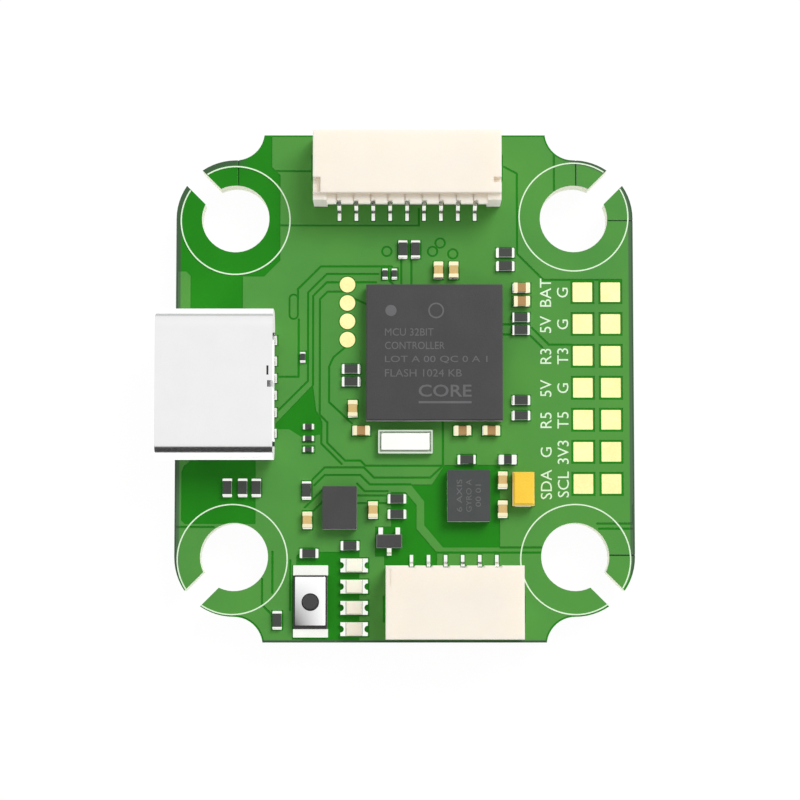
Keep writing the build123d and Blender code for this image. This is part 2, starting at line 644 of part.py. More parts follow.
# ---------------------------------------------------------------- tantalum capacitor
tantalum_width, tantalum_length, tantalum_height = TANTALUM_SIZE
with BuildPart() as tantalum_blank:
    for level in (0.14, tantalum_height):
        with BuildSketch(Plane.XY.offset(level)):
            Rectangle(tantalum_width - 0.08, tantalum_length - 0.1)
        with BuildSketch(Plane.XY.offset(0.55)):
            Rectangle(tantalum_width, tantalum_length)
        loft()
    chamfer(upper_edges(tantalum_blank.part, tantalum_height), 0.09)
copies(tantalum_blank, on_top([(*TANTALUM_CENTRE, ALONG)]), "tantalum_body")

with BuildPart() as tantalum_strap:
    with BuildSketch(Plane.YZ.offset(-0.45)):
        with BuildLine():
            Polyline(
                (tantalum_length / 2 - 0.5, 0), (tantalum_length / 2, 0), (tantalum_length / 2, 0.14),
                (tantalum_length / 2 - 0.5, 0.14), close=True,
            )
        make_face()
    extrude(amount=0.9)
    mirror(about=Plane.XZ)
copies(tantalum_strap, on_top([(*TANTALUM_CENTRE, ALONG)]), "tantalum_terminals")

# ---------------------------------------------------------------- indicator LEDs
LED_LENGTH, LED_WIDTH, LED_NOTCH = 1.6, 0.8, 0.2
with BuildPart() as led_base:
    with BuildSketch(Plane.XY.offset(COPPER)):
        Rectangle(LED_LENGTH, LED_WIDTH)
        with Locations((-LED_LENGTH / 2, 0), (LED_LENGTH / 2, 0)):
            Circle(LED_NOTCH, mode=Mode.SUBTRACT)
    extrude(amount=0.24)
copies(led_base, on_top(led_places), "led_bases")

with BuildPart() as led_terminal:
    for level in (0.0, COPPER + 0.24):
        with BuildSketch(Plane.XY.offset(level)):
            with Locations((-LED_LENGTH / 2 + 0.15, 0), (LED_LENGTH / 2 - 0.15, 0)):
                Rectangle(0.3, LED_WIDTH)
            with Locations((-LED_LENGTH / 2, 0), (LED_LENGTH / 2, 0)):
                Circle(LED_NOTCH, mode=Mode.SUBTRACT)
        extrude(amount=COPPER)
copies(led_terminal, on_top(led_places), "led_terminals")

with BuildPart() as led_lens:
    with BuildSketch(Plane.XY.offset(COPPER + 0.24)):
        Rectangle(0.99, LED_WIDTH - 0.04)
    with BuildSketch(Plane.XY.offset(COPPER + 0.6)):
        Rectangle(0.88, LED_WIDTH - 0.1)
    loft()
    fillet(upper_edges(led_lens.part, COPPER + 0.6), 0.04)
copies(led_lens, on_top(led_places), "led_lenses")

# ---------------------------------------------------------------- boot button
button_width, button_length, button_height = BUTTON_SIZE
button_plane = top_plane(BUTTON_CENTRE)
CAVITY_FLOOR = 0.15
COVER_THICKNESS = 0.1
DOME_RADIUS, DOME_RISE, DOME_SHEET = 0.7, 0.24, 0.05
PLUNGER_FLANGE_RADIUS, PLUNGER_FLANGE = 0.66, 0.1
PLUNGER_PROUD = 0.27

with BuildPart(button_plane) as button_housing:
    Box(button_width, button_length, button_height, align=(Align.CENTER, Align.CENTER, Align.MIN))
    fillet(button_housing.edges().filter_by(Axis.Z), 0.08)
    with Locations((0, 0, CAVITY_FLOOR)):
        Cylinder(
            DOME_RADIUS + 0.04,
            button_height - CAVITY_FLOOR,
            align=(Align.CENTER, Align.CENTER, Align.MIN),
            mode=Mode.SUBTRACT,
        )
save(button_housing, "button_housing")

with BuildPart(button_plane.offset(button_height)) as button_cover:
    with Locations((0, COVER_OFFSET, 0)):
        Box(*COVER_SIZE, COVER_THICKNESS, align=(Align.CENTER, Align.CENTER, Align.MIN))
    fillet(button_cover.edges().filter_by(Axis.Z), 0.06)
    Cylinder(
        PLUNGER_RADIUS + PLUNGER_CLEARANCE,
        COVER_THICKNESS,
        align=(Align.CENTER, Align.CENTER, Align.MIN),
        mode=Mode.SUBTRACT,
    )
    fillet(button_cover.faces().sort_by(Axis.Z)[-1].edges(), 0.03)
save(button_cover, "button_cover")

flange_bottom = button_height - 0.01 - PLUNGER_FLANGE
plunger_top = button_height + COVER_THICKNESS + PLUNGER_PROUD
with BuildPart() as plunger_blank:
    with BuildSketch(Plane.XZ):
        with BuildLine():
            Polyline(
                (0, flange_bottom),
                (PLUNGER_FLANGE_RADIUS, flange_bottom),
                (PLUNGER_FLANGE_RADIUS, flange_bottom + PLUNGER_FLANGE),
                (PLUNGER_RADIUS, flange_bottom + PLUNGER_FLANGE),
                (PLUNGER_RADIUS, plunger_top - 0.05),
                (PLUNGER_RADIUS - 0.05, plunger_top),
                (0, plunger_top),
                close=True,
            )
        make_face()
    revolve(axis=Axis.Z)
copies(plunger_blank, on_top([(*BUTTON_CENTRE, ALONG)]), "button_plunger")

dome_sphere = (DOME_RADIUS**2 + DOME_RISE**2) / (2 * DOME_RISE)
with BuildPart() as dome_blank:
    with Locations((0, 0, CAVITY_FLOOR + DOME_RISE - dome_sphere)):
        Sphere(dome_sphere)
        Sphere(dome_sphere - DOME_SHEET, mode=Mode.SUBTRACT)
    with Locations((0, 0, CAVITY_FLOOR)):
        Cylinder(DOME_RADIUS, DOME_RISE, align=(Align.CENTER, Align.CENTER, Align.MIN), mode=Mode.INTERSECT)
copies(dome_blank, on_top([(*BUTTON_CENTRE, ALONG)]), "button_dome")

with BuildPart(button_plane) as button_terminals:
    with Locations((0, button_length / 2 + COVER_OFFSET, 0), (0, COVER_OFFSET - button_length / 2, 0)):
        Box(2.04, 1.08, 0.14, align=(Align.CENTER, Align.CENTER, Align.MIN))
    Box(2.2, button_length, 1.0, mode=Mode.SUBTRACT)
    fillet(button_terminals.edges().filter_by(Axis.Z), 0.03)
save(button_terminals, "button_terminals")

# ---------------------------------------------------------------- coils of the step-down converters
COIL_SIZE = (3.0, 3.0, 1.16)
with BuildPart() as coil:
    with Locations((0, 0, COPPER)):
        Box(*COIL_SIZE, align=(Align.CENTER, Align.CENTER, Align.MIN))
    fillet(coil.edges().filter_by(Axis.Z), 0.25)
    fillet(upper_edges(coil.part, COPPER + COIL_SIZE[2]), 0.08)
copies(coil, underneath(COIL_PLACES), "power_inductors")

with BuildPart() as coil_terminal:
    with BuildSketch():
        with Locations((-1.1, 0), (1.1, 0)):
            Rectangle(0.8, 2.4)
    extrude(amount=COPPER)
copies(coil_terminal, underneath(COIL_PLACES), "inductor_terminals")


# ---------------------------------------------------------------- pin-header sockets, side entry
def side_connector(ways, centre_x, facing, full_roof, prefix):
    """A side-entry wire connector. `facing` is +1 when plugs enter from +Y and -1 when they enter from -Y.

    It is drawn with x along the row, y = 0 just behind the mating face and -y running back over the board.
    One with a full roof covers its contacts up to their tails. The other's roof stops at a lip between two
    end blocks, undercut where the contacts come out.
    """
    span = CONNECTOR_PITCH * (ways - 1)
    width = span + 3.0
    roof_back = CONNECTOR_FULL_ROOF if full_roof else 3.65
    lip_back, lip_top, block_width = 4.22, 2.5, 0.8
    contact_height = 1.25
    contact_x = [CONNECTOR_PITCH * (i - (ways - 1) / 2) for i in range(ways)]
    turn = 0 if facing > 0 else 180
    edge_y = facing * (BOARD_LENGTH / 2 - CONNECTOR_INSET)
    place = [Location((centre_x, edge_y, BOARD_THICKNESS), (0, 0, turn))]
    block = (Align.CENTER, Align.MAX, Align.MIN)

    with BuildPart() as housing:
        with BuildSketch(Plane.YZ.offset(-width / 2)):  # side profile: roof, then a lip at the back
            with BuildLine():
                back = [(-roof_back, COPPER)]
                if not full_roof:
                    back = [
                        (-roof_back, lip_top), (-lip_back, lip_top), (-lip_back, lip_top - 0.4),
                        (-roof_back - 0.15, lip_top - 0.6), (-roof_back - 0.15, COPPER),
                    ]
                Polyline(
                    (MATING_LEAD, COPPER), (MATING_LEAD, CONNECTOR_HEIGHT), (-roof_back, CONNECTOR_HEIGHT), *back,
                    close=True,
                )
            make_face()
        extrude(amount=width)
        fillet(housing.faces().sort_by(Axis.Z)[-1].edges(), 0.05)
        if not full_roof:
            for side in (-1, 1):  # end blocks in place of the lip, down to the board
                block_x = side * (width - block_width) / 2
                with Locations((block_x, -roof_back, COPPER)):
                    Box(block_width, END_BLOCK_REACH - roof_back, lip_top + 0.1, align=block)
                with Locations((block_x, -END_BLOCK_REACH, COPPER)):
                    Box(block_width, 0.5, CONNECTOR_HEIGHT, align=block, mode=Mode.SUBTRACT)
        # Cavity for the plug, open at the mating face, with a wider upper key.
        with Locations((0, MATING_LEAD, 0.45)):
            Box(span + 1.7, 3.0 + MATING_LEAD, 1.75, align=block, mode=Mode.SUBTRACT)
        with Locations((0, MATING_LEAD, 2.2)):
            Box(span + 0.6, 3.0 + MATING_LEAD, 0.35, align=block, mode=Mode.SUBTRACT)
        # Latch slots in the roof, and the pockets of the solder anchors.
        if full_roof:
            with Locations((width / 2 - 0.25, -2.95, CONNECTOR_HEIGHT - 0.07)):
                Box(0.12, 1.0, 1.0, align=block, mode=Mode.SUBTRACT)
        for side, slot_length in ((-1, 0.9), (1, 0.33)):
            if not full_roof:
                with Locations((side * (width / 2 - 0.2), -2.72, lip_top)):
                    Box(0.5, slot_length, 1.2, align=block, mode=Mode.SUBTRACT)
            with Locations((side * (width / 2 - 0.1), -1.1, 0)):
                Box(0.2, 1.2, 1.3, align=block, mode=Mode.SUBTRACT)
        # Slots that the contacts leave through and bend down in, and nicks in the roof or lip above them.
        for x in contact_x:
            with Locations((x, -2.9, contact_height - 0.12)):
                Box(0.26, 1.3, 0.9, align=block, mode=Mode.SUBTRACT)
            with Locations((x, -3.75, 0)):
                Box(0.3, 0.6, 2.0, align=block, mode=Mode.SUBTRACT)
            if full_roof:
                with Locations((x, 0.12 - roof_back, 1.0)):
                    Box(0.4, 0.3, 3.0, align=block, mode=Mode.SUBTRACT)
            else:
                with Locations((x, 0.2 - lip_back, 1.6)):
                    Box(0.3, 0.3, 1.0, align=block, mode=Mode.SUBTRACT)
                with Locations((x - 0.13, -roof_back, lip_top - 0.15)):
                    Box(0.07, lip_back - roof_back - 0.15, 0.3, align=block, mode=Mode.SUBTRACT)
    copies(housing, place, f"{prefix}_housing")

    tail_end = 4.86
    with BuildPart() as contact:
        strip, strip_width = 0.16, 0.2
        with BuildSketch(Plane.YZ.offset(-strip_width / 2)):
            with BuildLine():
                Polyline(
                    (-1.1, contact_height + 0.04),
                    (-1.25, contact_height + strip),
                    (-3.92, contact_height + strip),
                    (-4.16, contact_height - 0.1),
                    (-4.34, strip + 0.12),
                    (-4.46, strip),
                    (-tail_end, strip),
                    (-tail_end, 0),
                    (-4.38, 0),
                    (-4.2, 0.14),
                    (-4.0, contact_height - 0.16),
                    (-3.86, contact_height),
                    (-1.1, contact_height),
                    close=True,
                )
            make_face()
        extrude(amount=strip_width)
    with BuildPart() as contact_row:
        with Locations(*[(x, 0, 0) for x in contact_x]):
            add(contact.part)
    copies(contact_row, place, f"{prefix}_contacts")

    with BuildPart() as anchors:
        for side in (-1, 1):
            with Locations((side * (width / 2 - 0.105), -1.12, 0)):
                Box(0.19, 1.16, 1.28, align=block)
    copies(anchors, place, f"{prefix}_anchors")


side_connector(9, NINE_WAY_X, +1, False, "nine_way")
side_connector(6, SIX_WAY_X, -1, True, "six_way")

# ---------------------------------------------------------------- USB receptacle
shell_middle = BOARD_THICKNESS + SHELL_FLOOR + SHELL_HEIGHT / 2
front_plane = Plane(origin=(SHELL_FRONT, 0, shell_middle), x_dir=(0, 1, 0), z_dir=(1, 0, 0))
with BuildPart() as usb_shell:
    with BuildSketch(front_plane):
        RectangleRounded(SHELL_WIDTH, SHELL_HEIGHT, SHELL_RADIUS)
        offset(amount=-SHELL_WALL, mode=Mode.SUBTRACT)
    extrude(amount=SHELL_LENGTH)
    # Closed back behind the insulator.
    with BuildSketch(front_plane.offset(SHELL_LENGTH - SHELL_WALL)):
        RectangleRounded(SHELL_WIDTH, SHELL_HEIGHT, SHELL_RADIUS)
    extrude(amount=SHELL_WALL)
    # Open underside at the back, where the solder tails come out.
    with Locations((SHELL_BACK, 0, BOARD_THICKNESS)):
        Box(2.0, 6.2, 0.8, align=(Align.MAX, Align.CENTER, Align.MIN), mode=Mode.SUBTRACT)
    # Latch notch and fold slit in the roof's rear edge.
    with Locations((SHELL_BACK - 0.15, -0.1, BOARD_THICKNESS + SHELL_HEIGHT)):
        Box(0.3, 0.38, 4.0, mode=Mode.SUBTRACT)
    with Locations((SHELL_BACK - 0.27, 0.68, BOARD_THICKNESS + SHELL_HEIGHT)):
        Box(0.15, 0.54, 0.6, mode=Mode.SUBTRACT)
    # Stakes, bent down from the sides through the board.
    with Locations(*[(x, side * STAKE_Y, shell_middle) for x in STAKE_X for side in (-1, 1)]):
        Box(
            STAKE_LENGTH, STAKE_THICKNESS, shell_middle - 0.1, align=(Align.CENTER, Align.CENTER, Align.MAX)
        )
    fillet(usb_shell.faces().filter_by(Axis.X).sort_by(Axis.X)[0].edges(), 0.06)
save(usb_shell, "usb_shell")

tongue_middle = shell_middle
TONGUE_FRONT = SHELL_FRONT + 0.7
TONGUE_ROOT = SHELL_BACK - 2.0
with BuildPart() as usb_insulator:
    with BuildSketch(Plane(origin=(TONGUE_ROOT, 0, shell_middle), x_dir=(0, 1, 0), z_dir=(1, 0, 0))):
        RectangleRounded(
            SHELL_WIDTH - 2 * SHELL_WALL - 0.04, SHELL_HEIGHT - 2 * SHELL_WALL - 0.04, SHELL_RADIUS - SHELL_WALL
        )
    extrude(amount=SHELL_BACK - SHELL_WALL - TONGUE_ROOT)
    with Locations((TONGUE_ROOT, 0, tongue_middle)):
        Box(TONGUE_ROOT - TONGUE_FRONT, 6.69, 0.7, align=(Align.MAX, Align.CENTER, Align.CENTER))
    fillet(usb_insulator.faces().sort_by(Axis.X)[0].edges(), 0.15)
    # Grooves that the tails run down at the back.
    with Locations(*[(SHELL_BACK, side * y, BOARD_THICKNESS) for y in USB_TAIL_Y for side in (-1, 1)]):
        Box(
            1.6, 0.56, 0.75, align=(Align.MAX, Align.CENTER, Align.MIN), mode=Mode.SUBTRACT
        )
save(usb_insulator, "usb_insulator")

with BuildPart() as usb_contacts:
    spots = [side * y for y in USB_TAIL_Y for side in (-1, 1)]
    blade_length = TONGUE_ROOT - TONGUE_FRONT - 0.5
    for face in (-1, 1):
        with Locations(*[(TONGUE_ROOT, y, tongue_middle + face * 0.365) for y in spots]):
            Box(blade_length, 0.3, 0.03, align=(Align.MAX, Align.CENTER, Align.CENTER))
    with Locations(*[(SHELL_BACK + 0.11, y, BOARD_THICKNESS) for y in spots]):
        Box(1.56, 0.52, 0.2, align=(Align.MAX, Align.CENTER, Align.MIN))
    with Locations(*[(SHELL_BACK - 1.45, y, BOARD_THICKNESS) for y in spots]):
        Box(0.2, 0.52, 0.75, align=(Align.MIN, Align.CENTER, Align.MIN))
save(usb_contacts, "usb_contacts")
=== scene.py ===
# %% [markdown]
# # Dressing a small flight controller board
#
# The CAD model already holds every part of the board at its real size. This lesson gives each part
# the finish it has in real life, adds what a CAD model leaves out (ink, solder, laser marks), and
# lights it like a product on a white table. Everything is in metres, in the CAD model's own frame,
# with +Z out of the component side.

import json
import math

import bmesh
import bpy
from mathutils import Matrix, Vector


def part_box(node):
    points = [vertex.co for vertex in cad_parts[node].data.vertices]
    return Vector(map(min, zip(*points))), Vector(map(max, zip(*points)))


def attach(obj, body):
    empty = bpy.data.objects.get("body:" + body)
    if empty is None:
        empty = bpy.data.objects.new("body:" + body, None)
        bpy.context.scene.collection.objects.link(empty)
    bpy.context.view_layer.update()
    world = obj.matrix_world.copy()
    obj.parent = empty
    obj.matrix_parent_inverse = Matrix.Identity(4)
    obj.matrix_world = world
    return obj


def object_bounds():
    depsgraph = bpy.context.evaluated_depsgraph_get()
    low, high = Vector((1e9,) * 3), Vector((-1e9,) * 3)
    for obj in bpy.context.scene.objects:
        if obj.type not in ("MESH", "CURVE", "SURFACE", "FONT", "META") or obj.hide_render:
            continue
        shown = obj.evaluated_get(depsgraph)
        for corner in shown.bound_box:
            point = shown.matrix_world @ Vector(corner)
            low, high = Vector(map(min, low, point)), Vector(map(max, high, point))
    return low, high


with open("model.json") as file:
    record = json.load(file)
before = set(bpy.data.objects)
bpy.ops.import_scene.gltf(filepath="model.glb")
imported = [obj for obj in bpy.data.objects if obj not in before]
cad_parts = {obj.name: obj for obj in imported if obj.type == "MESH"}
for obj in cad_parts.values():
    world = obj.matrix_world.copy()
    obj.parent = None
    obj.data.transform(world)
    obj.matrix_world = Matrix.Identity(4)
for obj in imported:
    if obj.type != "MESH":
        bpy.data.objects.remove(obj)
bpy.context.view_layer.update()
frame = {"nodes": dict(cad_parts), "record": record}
nodes = frame["nodes"]
MM = 0.001

# %% [markdown]
# Each CAD node may hold many separate solids, such as all the end caps of one kind of chip. The
# places of new pieces come from those solids, so this helper walks each one and measures it. It
# works on a merged copy of the mesh, because the CAD meshes are loose triangles and are never
# changed.


# %% Measure the separate solids of a node
MERGE_DISTANCE = 1e-7


def solids_of(node):
    """The (lowest corner, highest corner) of every separate solid in a CAD node."""
    mesh = bmesh.new()
    mesh.from_mesh(nodes[node].data)
    bmesh.ops.remove_doubles(mesh, verts=mesh.verts, dist=MERGE_DISTANCE)
    mesh.verts.ensure_lookup_table()
    seen, boxes = set(), []
    for first in mesh.verts:
        if first.index in seen:
            continue
        group, waiting = [], [first]
        seen.add(first.index)
        while waiting:
            vertex = waiting.pop()
            group.append(vertex.co)
            for edge in vertex.link_edges:
                other = edge.other_vert(vertex)
                if other.index not in seen:
                    seen.add(other.index)
                    waiting.append(other)
        low = Vector([min(co[i] for co in group) for i in range(3)])
        high = Vector([max(co[i] for co in group) for i in range(3)])
        boxes.append((low, high))
    mesh.free()
    return boxes


BOARD_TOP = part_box("circuit_board")[1].z
FOIL_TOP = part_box("top_copper")[1].z
mounts = {mount["name"]: mount for mount in frame["record"]["mounts"]}
HOLE_OFFSET = mounts["mounting_holes"]["dims"]["spacing_x_mm"] * MM / 2
print("board top", BOARD_TOP, "foil top", FOIL_TOP, "holes at", HOLE_OFFSET)

# %% [markdown]
# ## Finishes
# Colours are written as the sRGB hex values a painter would pick, and Blender's shaders want linear
# light, so one function converts. One more adds a node, with its settings and its links, so that a
# material reads as a list.


# %% Colour and node helpers
def linear(hex_colour):
    """An sRGB '#rrggbb' as the linear RGBA that a shader socket takes."""
    channels = [int(hex_colour[i : i + 2], 16) / 255 for i in (1, 3, 5)]
    return (*[c / 12.92 if c <= 0.04045 else ((c + 0.055) / 1.055) ** 2.4 for c in channels], 1.0)


def add_node(material, kind, sockets=None, **settings):
    """Adds a shader node. A socket is given a plain value, or another node's output to link to."""
    node = material.node_tree.nodes.new(kind)
    for name, value in settings.items():
        setattr(node, name, value)
    for name, value in (sockets or {}).items():
        if isinstance(value, bpy.types.NodeSocket):
            material.node_tree.links.new(value, node.inputs[name])
        else:
            node.inputs[name].default_value = value
    return node


def new_material(name):
    """An empty node material."""
    material = bpy.data.materials.new(name)
    material.use_nodes = True
    material.node_tree.nodes.clear()
    return material


print("white is", linear("#ffffff"))

# %% [markdown]
# Most small parts share one kind of surface: a moulded, plated or fired skin whose tone drifts a
# little and whose texture is a fine grain. One recipe covers them, with the grain's real size in
# millimetres and its height in micrometres, and each finish only says what is special about it.

# %% The recipe for a fine-grained surface
DRIFT_SIZE = 0.6 / MM  # the scale of the slow drift in tone
UM = 1e-6


def grained(name, dark, light, grain_mm, bump_um, **shader):
    """A surface that drifts between two near tones, with a bump of the stated grain and height."""
    material = new_material(name)
    place = add_node(material, "ShaderNodeTexCoord").outputs["Object"]
    drift = add_node(
        material, "ShaderNodeTexNoise", {"Vector": place, "Scale": DRIFT_SIZE, "Detail": 3.0}
    )
    grain = add_node(
        material,
        "ShaderNodeTexNoise",
        {"Vector": place, "Scale": 1 / (grain_mm * MM), "Detail": 2.0},
    )
    both = add_node(
        material, "ShaderNodeMath", {0: drift.outputs[0], 1: grain.outputs[0]}, operation="ADD"
    )
    tone = add_node(
        material,
        "ShaderNodeMapRange",
        {"Value": both.outputs[0], "From Min": 0.75, "From Max": 1.25},
    )
    colour = add_node(
        material,
        "ShaderNodeMix",
        {0: tone.outputs[0], 6: linear(dark), 7: linear(light)},
        data_type="RGBA",
    )
    bump = add_node(
        material,
        "ShaderNodeBump",
        {"Height": grain.outputs[0], "Strength": 1.0, "Distance": bump_um * UM},
    )
    surface = add_node(
        material,
        "ShaderNodeBsdfPrincipled",
        {"Base Color": colour.outputs[2], "Normal": bump.outputs[0]},
    )
    for socket, value in shader.items():
        surface.inputs[socket.replace("_", " ")].default_value = value
    add_node(material, "ShaderNodeOutputMaterial", {"Surface": surface.outputs[0]})
    return material


print("one recipe for every grained finish")

# %% [markdown]
# Solder mask is a thin glossy epoxy lacquer, transparent green. Over copper it looks light and
# slightly yellow, and over the bare glass-fibre laminate it looks deep and saturated. The two are
# separate CAD nodes, so they are two materials. Outside the printed rings, the ears of the +Y edge
# have a rim of painted shade, where a rounded edge would be shaded. It runs on down both sides, and
# a strip of painted shadow of the six-way connector lies along the edge below it. A rim could be
# a piece of its own, but it has no thickness, so it is a mask worked out from the place on the
# board.

# %% The painted shade on the lacquer's rims
EAR_MIDDLE = 9.9 * MM  # from the board's middle to a point in each ear, along X and along Y
PAINTED_SHADE_START, PAINTED_SHADE_FADE = 3.3 * MM, 0.06 * MM  # from that point to the painted shade, and its soft border
EAR_START, EAR_FULL = -0.7 * MM, 0.2 * MM  # the painted shade fades in between these X, from that point
PAINTED_SHADOW_Y, EDGE_FADE = 14.83 * MM, 0.05 * MM  # from the board's middle to the painted shadow along the -Y edge


def painted_shade_share(material, axes):
    """1 where shade is painted and 0 elsewhere: round the +Y ears, and along the -Y edge."""
    across = add_node(material, "ShaderNodeMath", {0: axes.outputs[0]}, operation="ABSOLUTE")
    out_x = add_node(
        material, "ShaderNodeMath", {0: across.outputs[0], 1: EAR_MIDDLE}, operation="SUBTRACT"
    )
    out_y = add_node(
        material, "ShaderNodeMath", {0: axes.outputs[1], 1: EAR_MIDDLE}, operation="SUBTRACT"
    )
    beyond_y = add_node(
        material, "ShaderNodeMath", {0: out_y.outputs[0], 1: 0.0}, operation="MAXIMUM"
    )
    reach = add_node(
        material, "ShaderNodeCombineXYZ", {0: out_x.outputs[0], 1: beyond_y.outputs[0]}
    )
    radius = add_node(
        material, "ShaderNodeVectorMath", {0: reach.outputs[0]}, operation="LENGTH"
    )
    past_ring = add_node(
        material,
        "ShaderNodeMapRange",
        {
            "Value": radius.outputs["Value"],
            "From Min": PAINTED_SHADE_START,
            "From Max": PAINTED_SHADE_START + PAINTED_SHADE_FADE,
        },
    )
    on_ear = add_node(
        material,
        "ShaderNodeMapRange",
        {"Value": out_x.outputs[0], "From Min": EAR_START, "From Max": EAR_FULL},
    )
    # Painted shade round the +Y ears, where a rounded edge would be shaded.
    ear_painted_shade = add_node(
        material,
        "ShaderNodeMath",
        {0: past_ring.outputs[0], 1: on_ear.outputs[0]},
        operation="MULTIPLY",
    )
    # Painted shadow of the six-way connector along the -Y edge.
    edge_painted_shadow = add_node(
        material,
        "ShaderNodeMapRange",
        {"Value": axes.outputs[1], "From Min": -PAINTED_SHADOW_Y, "From Max": -PAINTED_SHADOW_Y - EDGE_FADE},
    )
    either = add_node(
        material,
        "ShaderNodeMath",
        {0: ear_painted_shade.outputs[0], 1: edge_painted_shadow.outputs[0]},
        operation="MAXIMUM",
    )
    return either.outputs[0]


print("ear rim starts", round(PAINTED_SHADE_START / MM, 2), "mm from", round(EAR_MIDDLE / MM, 2), "mm")

# %% [markdown]
# The routed edge has no lacquer at all: it shows the laminate's pale layers of glass cloth, 0.2 mm
# each. Board and edge are one solid, so the walls are found by their normals. The scored lines in
# the ears have walls too, but they were lacquered after they were cut, so the top is left out.

# %% The cut edge of the laminate
SCORE_DEPTH = 0.13 * MM
WALL_TILT = 0.5  # a face whose normal has less Z than this is a wall
CLOTH_LAYER = 0.2 * MM


def cut_edge(material, place, axes):
    """Two sockets: 1 on the laminate's cut walls and 0 elsewhere, and the colour of the cloth."""
    normal = add_node(material, "ShaderNodeNewGeometry").outputs["Normal"]
    upright = add_node(material, "ShaderNodeSeparateXYZ", {0: normal}).outputs[2]
    flatness = add_node(material, "ShaderNodeMath", {0: upright}, operation="ABSOLUTE")
    is_steep = add_node(
        material, "ShaderNodeMath", {0: flatness.outputs[0], 1: WALL_TILT}, operation="LESS_THAN"
    )
    below_scores = add_node(
        material,
        "ShaderNodeMath",
        {0: axes.outputs[2], 1: BOARD_TOP - SCORE_DEPTH},
        operation="LESS_THAN",
    )
    is_edge = add_node(
        material,
        "ShaderNodeMath",
        {0: is_steep.outputs[0], 1: below_scores.outputs[0]},
        operation="MULTIPLY",
    )
    layers = add_node(
        material,
        "ShaderNodeTexWave",
        {
            "Vector": place,
            "Scale": 1 / CLOTH_LAYER / math.tau,
            "Distortion": 1.5,
            "Detail": 2.0,
        },
        bands_direction="Z",
    )
    cloth = add_node(
        material,
        "ShaderNodeMix",
        {0: layers.outputs["Fac"], 6: linear("#ccd1b4"), 7: linear("#e8eada")},
        data_type="RGBA",
    )
    return is_edge.outputs[0], cloth.outputs[2]


print("cloth layers of", round(CLOTH_LAYER / MM, 2), "mm")

# %% [markdown]
# The two lacquers share one recipe: a slow drift between two greens, the painted rim shade, and a
# very shallow ripple. The cut edge also gets a painted glow: it emits a little light in its own
# colour, which brightens its shaded walls.

# %% Lacquer over copper and over laminate
# The strength of the cut edge's painted glow.
EDGE_PAINTED_GLOW = 0.24
RIPPLE_HEIGHT = 2 * UM


def lacquer(name, dark, light, rim, roughness, edge_cloth):
    """Green lacquer with its painted rim shade, and the laminate's cut edge where asked for."""
    material = new_material(name)
    place = add_node(material, "ShaderNodeTexCoord").outputs["Object"]
    axes = add_node(material, "ShaderNodeSeparateXYZ", {0: place})
    drift = add_node(
        material, "ShaderNodeTexNoise", {"Vector": place, "Scale": 0.25 / MM, "Detail": 4.0}
    )
    tone = add_node(
        material,
        "ShaderNodeMapRange",
        {"Value": drift.outputs[0], "From Min": 0.3, "From Max": 0.7},
    )
    green = add_node(
        material,
        "ShaderNodeMix",
        {0: tone.outputs[0], 6: linear(dark), 7: linear(light)},
        data_type="RGBA",
    )
    # Painted shade: the rim colour is mixed over the green where the mask is 1.
    colour = add_node(
        material,
        "ShaderNodeMix",
        {0: painted_shade_share(material, axes), 6: green.outputs[2], 7: linear(rim)},
        data_type="RGBA",
    ).outputs[2]
    ripple = add_node(
        material, "ShaderNodeTexNoise", {"Vector": place, "Scale": 4 / MM, "Detail": 2.0}
    )
    bump = add_node(
        material,
        "ShaderNodeBump",
        {"Height": ripple.outputs[0], "Strength": 1.0, "Distance": RIPPLE_HEIGHT},
    )
    gloss = {"Roughness": roughness, "IOR": 1.5, "Specular IOR Level": 0.12}
    if edge_cloth:
        is_edge, cloth = cut_edge(material, place, axes)
        colour = add_node(
            material, "ShaderNodeMix", {0: is_edge, 6: colour, 7: cloth}, data_type="RGBA"
        ).outputs[2]
        # Painted glow: the cut walls emit their cloth colour, which lifts their shade.
        painted_glow = add_node(
            material, "ShaderNodeMath", {0: is_edge, 1: EDGE_PAINTED_GLOW}, operation="MULTIPLY"
        )
        gloss |= {"Emission Color": colour, "Emission Strength": painted_glow.outputs[0]}
    surface = add_node(
        material,
        "ShaderNodeBsdfPrincipled",
        {"Base Color": colour, "Normal": bump.outputs[0], **gloss},
    )
    add_node(material, "ShaderNodeOutputMaterial", {"Surface": surface.outputs[0]})
    return material


# The third colour of each lacquer is the painted shade of its rim.
mask_on_copper = lacquer(
    "solder_mask_over_copper", "#4b8e3f", "#53963f", "#4c6a4a", 0.42, edge_cloth=False
)
mask_on_laminate = lacquer(
    "solder_mask_over_laminate", "#187a0c", "#1f8412", "#3f5c3e", 0.4, edge_cloth=True
)
print("lacquers:", mask_on_copper.name, mask_on_laminate.name)

# %% [markdown]
# The capacitors are sintered from two kinds of ceramic: the usual tan one, and a browner one for
# the larger values beside the processor and above its right-hand corner. Both are in one CAD node,
# so the place decides.

